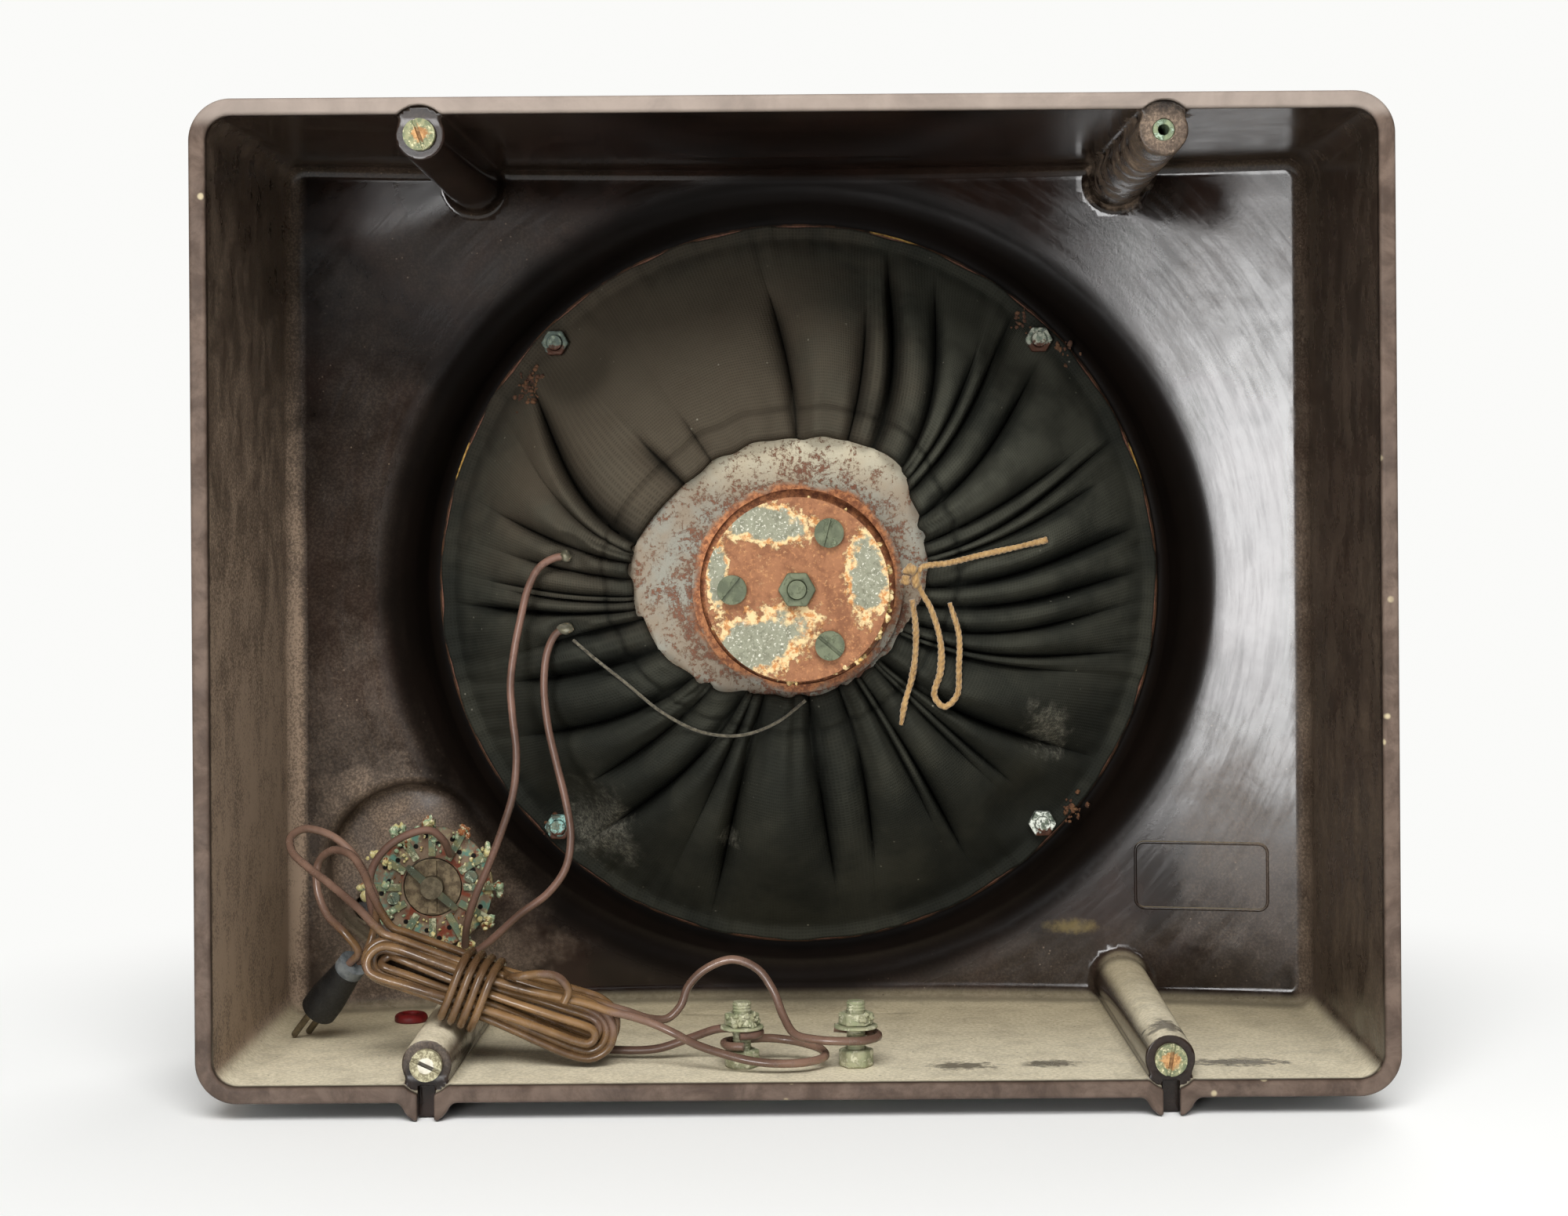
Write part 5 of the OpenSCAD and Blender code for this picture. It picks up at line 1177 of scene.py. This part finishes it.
def potFinish():
    f = Finish("rustyPot", Specular_IOR_Level=0.3)
    zinc, ring = patchesOn(f, potLook["patches"])
    grain, fine = f.noise(4.5, 5, 0.7, 0.5), f.noise(0.9, 4, 0.75)
    rust = f.mix(f.ramp(grain, 0.36, 0.62), rgb(*potLook["darkRust"]), rgb(*potLook["rust"]))
    rust = f.mix(f.ramp(fine, 0.52, 0.7), rust, rgb(178, 126, 86))
    crust = f.ramp(f.plus(ring, f.ramp(f.noise(1.8, 5, 0.75), 0.3, 0.7, -0.5, 0.5)), 0.3, 0.9)
    pale = f.tones(potLook["fringe"], (184, 128, 78), 0.46, 0.6, 2.2, 4, 0.7)
    rust = f.mix(crust, rust, pale)
    plate = f.tones(potLook["zinc"], (138, 139, 120), 0.42, 0.66, 2.4, 5, 0.7)
    plate = f.mix(f.blots(0.57, 0.65, 0.8, 3, 0.7), plate, rgb(206, 204, 188))
    height = f.plus(f.times(fine, 0.5), f.times(crust, 0.7))
    return f.wire(Base_Color=f.mix(zinc, rust, plate), Roughness=f.ramp(zinc, 0, 1, 0.88, 0.6),
                  Normal=f.bump(height, 0.22))


# The basket: grey paint, speckled with rust, rustiest at its collar and its rim
basketLook = {"paint": (132, 119, 101), "paintLight": (134, 132, 120), "upper": (204, 194, 166),
              "rust": (88, 58, 48), "rustLight": (118, 82, 64), "flake": (120, 76, 54),
              "flakeLight": (182, 124, 84), "collar": 29, "rim": 96}


def basketFinish():
    look = basketLook
    f = Finish("greyBasket", Specular_IOR_Level=0.4)
    out = f.reach((0, 85, midZ), (look["collar"], look["collar"]), 0, 0.1)
    collar = f.ramp(out, 0.95, 1.04, 1, 0)
    rim = f.ramp(f.reach((0, 85, midZ), (look["rim"], look["rim"]), 0, 0.03), 0.97, 1.03)
    spread, fine = f.noise(5, 5, 0.68, 0.6), f.noise(0.9, 5, 0.78)
    level = f.plus(f.times(spread, 0.4), f.times(fine, 0.6), f.ramp(out, 1.0, 1.35, 0.05, 0.0))
    rust = f.most(f.ramp(level, 0.52, 0.6), collar, rim)
    paint = f.tones(look["paint"], look["paintLight"], 0.4, 0.65, 11, 3)
    upper = f.ramp(f.axis("Z"), (midZ + 22) * mm, (midZ + 42) * mm, 0, 0.7)
    paint = f.mix(upper, paint, rgb(*look["upper"]))
    brown = f.mix(f.ramp(fine, 0.35, 0.65), rgb(*look["rust"]), rgb(*look["rustLight"]))
    flaked = f.tones(look["flake"], look["flakeLight"], 0.4, 0.62, 1.6, 5, 0.75)
    brown = f.mix(collar, brown, flaked)
    return f.wire(Base_Color=f.mix(rust, paint, brown), Roughness=f.ramp(rust, 0, 1, 0.5, 0.9),
                  Normal=f.bump(f.plus(fine, f.times(rust, 0.4)), 0.12))


# Flange nuts: each has its own bloom
nutBlooms = [((-nutOut, 115, midZ + nutOut), (92, 104, 96)), ((nutOut, 115, midZ + nutOut), (166, 168, 152)),
             ((-nutOut, 115, midZ - nutOut), (150, 190, 182)), ((nutOut, 115, midZ - nutOut), (212, 216, 206))]


def nutFinish(name, centre):
    f = Finish(name, Specular_IOR_Level=0.4)
    colour = f.tones((74, 82, 74), (112, 122, 106), 0.4, 0.62, 1.6, 4)
    powder = f.blots(0.44, 0.56, 1.9, 5, 0.7)
    for where, bloom in nutBlooms:
        here = f.near(where, (9, 9), 0, 0.1, 0.9, 1.1)
        middle = f.ramp(f.reach(where, (centre, centre), 0, 0.3), 0.8, 1.1)
        colour = f.mix(f.times(here, powder, middle), colour, rgb(*bloom))
        crust = f.near((where[0] + 1, where[1], where[2] - 4.2), (7, 3.2), 0, 0.7)
        colour = f.mix(f.times(crust, middle), colour, rgb(74, 46, 33))
    return f.wire(Base_Color=colour, Metallic=f.ramp(powder, 0, 1, 0.5, 0.0),
                  Roughness=f.ramp(powder, 0, 1, 0.5, 0.9), Normal=f.bump(f.noise(0.7, 4), 0.12))


def coverScrewFinish():
    f = Finish("coverScrews")
    green = f.tones((104, 112, 84), (142, 142, 106), 0.4, 0.6, 1.3, 4)
    green = f.mix(f.blots(0.54, 0.62, 0.8, 4, 0.7), green, rgb(206, 198, 160))
    brass = f.tones((150, 106, 62), (190, 146, 96), 0.4, 0.6, 0.9, 3)
    nickel = f.tones((204, 198, 182), (168, 160, 140), 0.4, 0.66, 2.5, 3)
    b = shell["boss"]
    bright = f.near((-b[0], 1, midZ - b[1]), (8, 8), 0, 0.0, 0.9, 1.1)
    core = 0.0
    for x, z in ((-b[0], midZ + b[1]), (b[0], midZ - b[1])):
        core = f.most(core, f.near((x, 1, z), (2.3, 2.3), 0, 0.5, 0.7, 1.1))
    head = f.near((-b[0], 1, midZ - b[1]), (2.1, 2.1), 0, 0.12, 0.9, 1.02)
    crust = f.tones((124, 116, 90), (186, 180, 148), 0.42, 0.6, 0.7, 4, 0.7)
    colour = f.mix(bright, f.mix(core, green, brass), f.mix(head, crust, nickel))
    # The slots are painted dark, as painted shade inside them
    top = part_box("cover_screws")[0].y
    slot = f.ramp(f.axis("Y"), top + 0.2 * mm, top + 0.5 * mm)
    slot = f.times(slot, f.most(head, f.times(core, 0.5)))
    colour = f.mix(f.times(slot, 0.85), colour, rgb(40, 34, 26))
    return f.wire(Base_Color=colour, Metallic=f.ramp(f.times(head, bright), 0, 1, 0.15, 0.85),
                  Roughness=f.ramp(head, 0, 1, 0.6, 0.34), Normal=f.bump(f.noise(0.6, 4), 0.04))


def plainFinish(name, dark, light, size=3.0, rough=(0.6, 0.8), metal=0.0, depth=0.06):  # two tones and a grain
    f = Finish(name)
    tone, grain = f.noise(size, 4, 0.6), f.noise(size * 0.2, 4, 0.7)
    colour = f.mix(f.ramp(tone, 0.36, 0.64), rgb(*dark), rgb(*light))
    f.feed(f.shader, "Metallic", metal)
    return f.wire(Base_Color=colour, Roughness=f.ramp(grain, 0.3, 0.7, *rough), Normal=f.bump(grain, depth))


# The card is dirty, and clean straw where it shows at three places
def cardFinish():
    f = Finish("strawCard", Roughness=0.9, Specular_IOR_Level=0.2)
    clean = 0.0
    for x, z in ((30.5, 231), (-101, 167), (100, 165)):
        clean = f.most(clean, f.near((x, 119, z), (7, 6), 0, 0.6))
    dirt = f.tones((34, 26, 20), (70, 48, 32), 0.4, 0.62, 5, 4)
    straw = f.tones((140, 106, 52), (188, 152, 84), 0.36, 0.64, 1.2, 4)
    return f.wire(Base_Color=f.mix(clean, dirt, straw), Normal=f.bump(f.noise(0.8, 4), 0.1))


# Pale crust on the pot, thick on its right, and heaps of rust flakes on the cloth: across, height, spread and count
crustSetup = {"seed": 21, "thick": (-66, 14, 34), "thin": (-160, 180, 10), "radius": 25.2, "depths": (60.8, 66),
              "heaps": [(-77.5, 187.5, 4, 5.5, 60), (-72, 59, 5, 3, 22), (79, 62, 3, 4, 26), (66, 205, 3, 4, 16),
                        (78, 196, 3, 3, 14)], "bead": (2.0, 1.6, 1.5)}


def makeCrusts(solder):
    s = crustSetup
    draw = np.random.default_rng(s["seed"])
    crumbs = []
    for a in np.radians(np.concatenate([draw.uniform(*s["thick"]), draw.uniform(*s["thin"])])):
        r, size = s["radius"] + draw.normal(0, 0.3), draw.uniform(0.35, 0.95)
        crumbs.append(lump((r * math.cos(a), draw.uniform(*s["depths"]), midZ + r * math.sin(a)),
                           size * draw.uniform(0.7, 1.3, 3), draw))
    pale = corroded("paleCrust", (216, 186, 124), (232, 208, 160), (200, 158, 92), 0.5, 1.5, 0, 0.9)
    lumpsPiece("potCrust", crumbs, pale)
    flakes = []
    for x, z, wide, high, count in s["heaps"]:
        for _ in range(count):
            size = draw.uniform(0.25, 0.8) * draw.uniform(0.7, 1.3, 3)
            px, pz = x + draw.normal(0, wide / 2), z + draw.normal(0, high / 2)
            flakes.append(lump((px, onBag(px, pz) - draw.uniform(0.2, 0.9), pz), size, draw, 6, 8))
    rust = corroded("flakedRust", (66, 42, 30), (96, 66, 44), (146, 112, 72), 0.56, 1.5, 0, 0.9)
    lumpsPiece("rustFlakes", flakes, rust)
    beads = [lump(cordRoutes[name][0], s["bead"], draw) for name in ("upperSpeakerLead", "lowerSpeakerLead")]
    lumpsPiece("solderBeads", beads, solder)


def dressSpeaker():
    patina = corroded("patinaScrews", (84, 90, 70), (106, 112, 88), (118, 126, 102), 0.55, 2.2, 0.3, 0.55)
    rust = corroded("rustyIron", (112, 66, 44), (142, 88, 56), (186, 124, 74), 0.5, 3, 0.0, 0.85)
    green = corroded("greenInserts", (96, 112, 88), (140, 150, 118), (160, 178, 156), 0.5, 1.6, 0.3, 0.55)
    solder = corroded("solderTags", (150, 148, 132), (120, 116, 96), (176, 150, 116), 0.55, 1.2, 0.7, 0.4)
    paper = plainFinish("conePaper", (34, 30, 27), (58, 52, 46), 5, (0.8, 0.95), 0, 0.1)
    dressAll({"magnet_pot": potFinish(), "speaker_basket": basketFinish(),
              "speaker_nuts": nutFinish("flangeNuts", 1.8), "speaker_bolts": nutFinish("flangeBolts", 0.6),
              "cover_screws": coverScrewFinish(), "cover_inserts": green, "solder_tags": solder,
              "pot_screws": patina, "core_nut": patina, "core_bolt": patina, "pole_plate": rust, "pole_piece": rust,
              "magnet": plainFinish("magnetAlloy", (70, 70, 68), (96, 94, 90), 4, (0.4, 0.6), 0.8),
              "speaker_gasket": cardFinish(), "cone": paper, "dust_cap": paper, "surround": paper,
              "coil_former": plainFinish("formerPaper", (120, 92, 58), (152, 122, 82), 4, (0.7, 0.9)),
              "voice_coil": plainFinish("coilCopper", (140, 76, 44), (182, 106, 64), 1.2, (0.3, 0.5), 0.9),
              "spider": plainFinish("spiderCloth", (132, 98, 52), (168, 130, 78), 2, (0.8, 0.95), 0, 0.1),
              "tag_strip": plainFinish("brownBoard", (70, 42, 26), (98, 62, 38), 5, (0.5, 0.7))})
    makeCrusts(solder)
    print("speaker finished")


softEdges()
dressSpeaker()


# The selector switch, its lugs grown over with crust
switchSetup = {"middle": (-104, 45), "lugs": 12, "lugEnd": 18.8, "lugDepth": 90.2, "seed": 33,
               "wiperHalf": 9.3, "wiperTurn": 139, "wiperDepth": 90.5, "wiperWidth": 2.2, "wiperThick": 0.5,
               "wiperBow": 0.35, "wiperRows": 25, "endCrumbs": 7, "lugCrumbs": 8, "lowCrumbs": 60, "boardHoles": 24,
               "dialMarks": 6}


def roundSwitch(radius, degrees, depth):
    x, z = switchSetup["middle"]
    a = math.radians(degrees)
    return x + radius * math.cos(a), depth, z + radius * math.sin(a)


def crystalFinish():
    f = Finish("lugCrystals", Roughness=0.85, Specular_IOR_Level=0.35)
    kind, fine = f.noise(7, 3, 0.5), f.noise(0.8, 4, 0.7)
    colour = f.mix(f.ramp(kind, 0.47, 0.56), rgb(188, 176, 122), rgb(132, 150, 120))
    colour = f.mix(f.blots(0.55, 0.61, 5, 3, 0.5), colour, rgb(124, 76, 44))
    colour = f.mix(f.ramp(fine, 0.52, 0.66), colour, rgb(222, 214, 184))
    return f.wire(Base_Color=colour, Normal=f.bump(fine, 0.25))


def boardFinish():
    f = Finish("waferBoard", Specular_IOR_Level=0.3)
    x, z = switchSetup["middle"]
    fine = f.noise(0.8, 4, 0.7)
    colour = f.tones((98, 78, 62), (118, 102, 84), 0.4, 0.64, 6, 4, 0.65)
    colour = f.mix(f.blots(0.54, 0.62, 8, 4, 0.6, 0.3), colour, rgb(104, 52, 36))
    outer = f.ramp(f.reach((x, 92, z), (14, 14), 0, 0.5), 0.85, 1.15)
    green = f.times(outer, f.blots(0.46, 0.58, 2.2, 5, 0.7))
    colour = f.mix(green, colour, f.tones((84, 118, 104), (160, 152, 108), 0.44, 0.56, 4, 3))
    # The board's holes are painted as dark spots, painted shade standing in for the holes
    holes = 0.0
    for i in range(switchSetup["boardHoles"]):
        at = roundSwitch(12.4 if i % 2 else 14.6, 15 * i + 7, 92)
        holes = f.most(holes, f.near(at, (0.75, 0.75), 0, 0, 0.8, 1.1))
    colour = f.mix(holes, colour, rgb(12, 10, 8))
    return f.wire(Base_Color=colour, Roughness=f.ramp(fine, 0.3, 0.7, 0.6, 0.85), Normal=f.bump(fine, 0.08))


def makeCrystals():
    s = switchSetup
    draw = np.random.default_rng(s["seed"])
    crumbs = []
    for i in range(s["lugs"]):
        for _ in range(s["endCrumbs"]):  # at the standing end of each lug
            at = roundSwitch(s["lugEnd"] + draw.normal(0, 0.6), 30 * i + draw.normal(0, 3),
                             s["lugDepth"] + draw.normal(0, 0.8))
            crumbs.append(lump(at, draw.uniform(0.5, 1.35) * draw.uniform(0.7, 1.2, 3), draw, 7, 9))
        for _ in range(s["lugCrumbs"]):  # along the lug on the board
            at = roundSwitch(draw.uniform(12.8, 18), 30 * i + draw.normal(0, 5), draw.uniform(91.2, 92.2))
            crumbs.append(lump(at, draw.uniform(0.3, 0.9) * draw.uniform(0.7, 1.2, 3), draw, 6, 8))
    for _ in range(s["lowCrumbs"]):  # under the wiper's sweep
        at = roundSwitch(draw.uniform(9.2, 12.6), draw.uniform(0, 360), 92.1)
        crumbs.append(lump(at, draw.uniform(0.25, 0.5) * draw.uniform(0.8, 1.1, 3), draw, 6, 8))
    lumpsPiece("lugCrystals", crumbs, crystalFinish())


def makeWiper():
    s = switchSetup
    x, z = s["middle"]
    a = math.radians(s["wiperTurn"])
    along, over = np.array([math.cos(a), 0, math.sin(a)]), np.array([-math.sin(a), 0, math.cos(a)])
    points = []
    for t in np.linspace(-1, 1, s["wiperRows"]):
        half = s["wiperWidth"] / 2 * (0.55 + 0.45 * math.sqrt(max(0, 1 - t ** 4)))
        middle = np.array([x, s["wiperDepth"] - s["wiperBow"] * (1 - t * t), z]) + along * t * s["wiperHalf"]
        for w, d in ((-1, 0), (-1, 1), (1, 1), (1, 0)):
            points.append(middle + (0, d * s["wiperThick"], 0) + over * w * half)
    last = len(points) - 4
    faces = [*gridFaces(s["wiperRows"], 4).tolist(), [3, 2, 1, 0], [last, last + 1, last + 2, last + 3]]
    strip = meshPiece("wiperStrip", points, faces)
    strip.data.polygons.foreach_set("use_smooth", [False] * len(strip.data.polygons))
    brass = corroded("wiperBrass", (94, 92, 68), (74, 78, 62), (142, 158, 140), 0.55, 2.5, 0.3, 0.6)
    dress(strip, brass, "selector")


def dressSwitch():
    steel = plainFinish("platedSteel", (122, 118, 106), (150, 146, 132), 3, (0.35, 0.55), 0.8)
    brass = corroded("lugBrass", (126, 124, 88), (96, 112, 92), (176, 176, 146), 0.5, 2, 0.3, 0.6)
    rods = corroded("tieRods", (104, 104, 84), (92, 108, 92), (170, 180, 158), 0.52, 1.6, 0.4, 0.5)
    dressAll({"switch_wafer": boardFinish(), "switch_contacts": brass, "switch_ties": rods,
              "switch_rotor": plainFinish("rotorBoard", (78, 66, 50), (122, 108, 84), 2, (0.6, 0.85), 0, 0.2),
              "switch_shaft": plainFinish("dullShaft", (84, 76, 60), (112, 102, 82), 1.6, (0.6, 0.8), 0.3),
              "switch_spacers": steel, "switch_bush": steel, "switch_nut": steel, "index_wheel": steel,
              "detent_spring": steel, "knob_screw": steel,
              "knob": plainFinish("knobMoulding", (34, 22, 18), (50, 32, 26), 8, (0.16, 0.26), 0, 0.01)})
    makeCrystals()
    makeWiper()
    print("switch finished")


# The dial: plain cream enamel with six marks, one for each place of the knob
def dialFinish():
    f = Finish("dialEnamel", Roughness=0.35)
    colour = f.tones((168, 152, 112), (186, 172, 134), 0.36, 0.64, 6, 4)
    for i in range(switchSetup["dialMarks"]):
        at = roundSwitch(15.2, 90 + 30 * i, 118)
        mark = f.near(at, (1.9, 0.5), 90 + 30 * i, 0, 0.85, 1.1)
        colour = f.mix(mark, colour, rgb(34, 26, 22))
    return f.wire(Base_Color=colour, Normal=f.bump(f.noise(1.0, 3), 0.01))


# The cloth behind the bars: a plain open weave of brown and gold threads
def grilleFinish():
    f = Finish("grilleWeave", Roughness=0.9, Specular_IOR_Level=0.15)
    threads = [f.stripes(f.squeeze(1, 1, 1, (0, turn, 0)), 1.5, 0.4) for turn in (45, -45)]
    cross = f.mix(f.ramp(threads[0], 0.3, 0.7), rgb(84, 62, 38), rgb(150, 120, 74))
    colour = f.mix(f.ramp(threads[1], 0.55, 0.8, 0, 0.7), cross, rgb(112, 78, 46))
    return f.wire(Base_Color=colour, Normal=f.bump(f.most(*threads), 0.2))


# Terminals: studs with their threads showing, and nuts under pale green crust
terminalSetup = {"places": ((-14.6, 21), (14.6, 21)), "core": 2.18, "crest": 2.42, "pitch": 0.8,
                 "spans": ((13.5, 18.2), (22.75, 25.3)), "sides": 28, "crustOut": 4.2, "crustTop": 22.4, "seed": 41}


def makeThreads():
    s = terminalSetup
    points, faces, start = [], [], 0
    sides = s["sides"]
    turn = np.linspace(0, 2 * math.pi, sides, endpoint=False)
    for x, depth in s["places"]:
        for low, high in s["spans"]:
            rise = np.arange(low, high, s["pitch"] / 4)
            radius = np.where(np.arange(len(rise)) % 4 < 2, s["core"], s["crest"])
            ring = np.stack([x + radius[:, None] * np.cos(turn), depth + radius[:, None] * np.sin(turn),
                             np.broadcast_to(rise[:, None], (len(rise), sides))], -1)
            points.append(ring.reshape(-1, 3))
            faces.append(gridFaces(len(rise), sides) + start)
            start += len(rise) * sides
    return rawMesh("studThreads", np.vstack(points), np.vstack(faces))


def dressTerminals():
    s = terminalSetup
    green = corroded("paleGreenBrass", (140, 144, 112), (160, 158, 128), (188, 186, 158), 0.5, 2.4, 0.15, 0.6)
    dressAll(dict.fromkeys(("terminal_studs", "terminal_lower_nuts", "terminal_washers", "terminal_nut_left",
                            "terminal_nut_right"), green))
    dress(makeThreads(), green)
    draw = np.random.default_rng(s["seed"])
    for name, (x, depth), body, count, low in (("leftNutCrust", s["places"][0], "left_nut", 26, 19.6),
                                               ("rightNutCrust", s["places"][1], "right_nut", 10, 19.8)):
        crumbs = []
        for _ in range(count):
            a, size = math.radians(draw.normal(-60, 45)), draw.uniform(0.3, 0.85)
            out = s["crustOut"]
            at = x + out * math.cos(a), depth + out * math.sin(a), draw.uniform(low, s["crustTop"])
            crumbs.append(lump(at, size * draw.uniform(0.7, 1.2, 3), draw, 7, 9))
        lumpsPiece(name, crumbs, green, body)
    print("terminals finished")


# The knot in the drawstring: where each lump is, and its size
knotSetup = {"seed": 51, "lumps": [((31, 72.5, 134.2), (1.9, 1.5, 1.6)), ((32.6, 73, 132), (1.4, 1.3, 1.9)),
                                   ((29.8, 72, 131.4), (1.5, 1.2, 1.4))]}


def dressRest():
    dressAll({"plug_body": plainFinish("plugRubber", (13, 13, 13), (24, 24, 23), 4, (0.5, 0.75), 0, 0.12),
              "plug_collar": plainFinish("collarGrey", (72, 76, 78), (108, 112, 112), 3, (0.6, 0.8)),
              "plug_pins": plainFinish("dullPins", (84, 74, 56), (112, 100, 78), 2, (0.4, 0.6), 0.5),
              "cable_grommet": plainFinish("redRubber", (66, 10, 11), (92, 17, 17), 3, (0.45, 0.65)),
              "dial_plate": dialFinish(), "grille_cloth": grilleFinish()})
    draw = np.random.default_rng(knotSetup["seed"])
    loops = [lump(at, size, draw) for at, size in knotSetup["lumps"]]
    lumpsPiece("drawstringKnot", loops, bpy.data.materials["rawJute"])
    print("plug, grommet, dial and grille cloth finished")


dressSwitch()
dressTerminals()
dressRest()
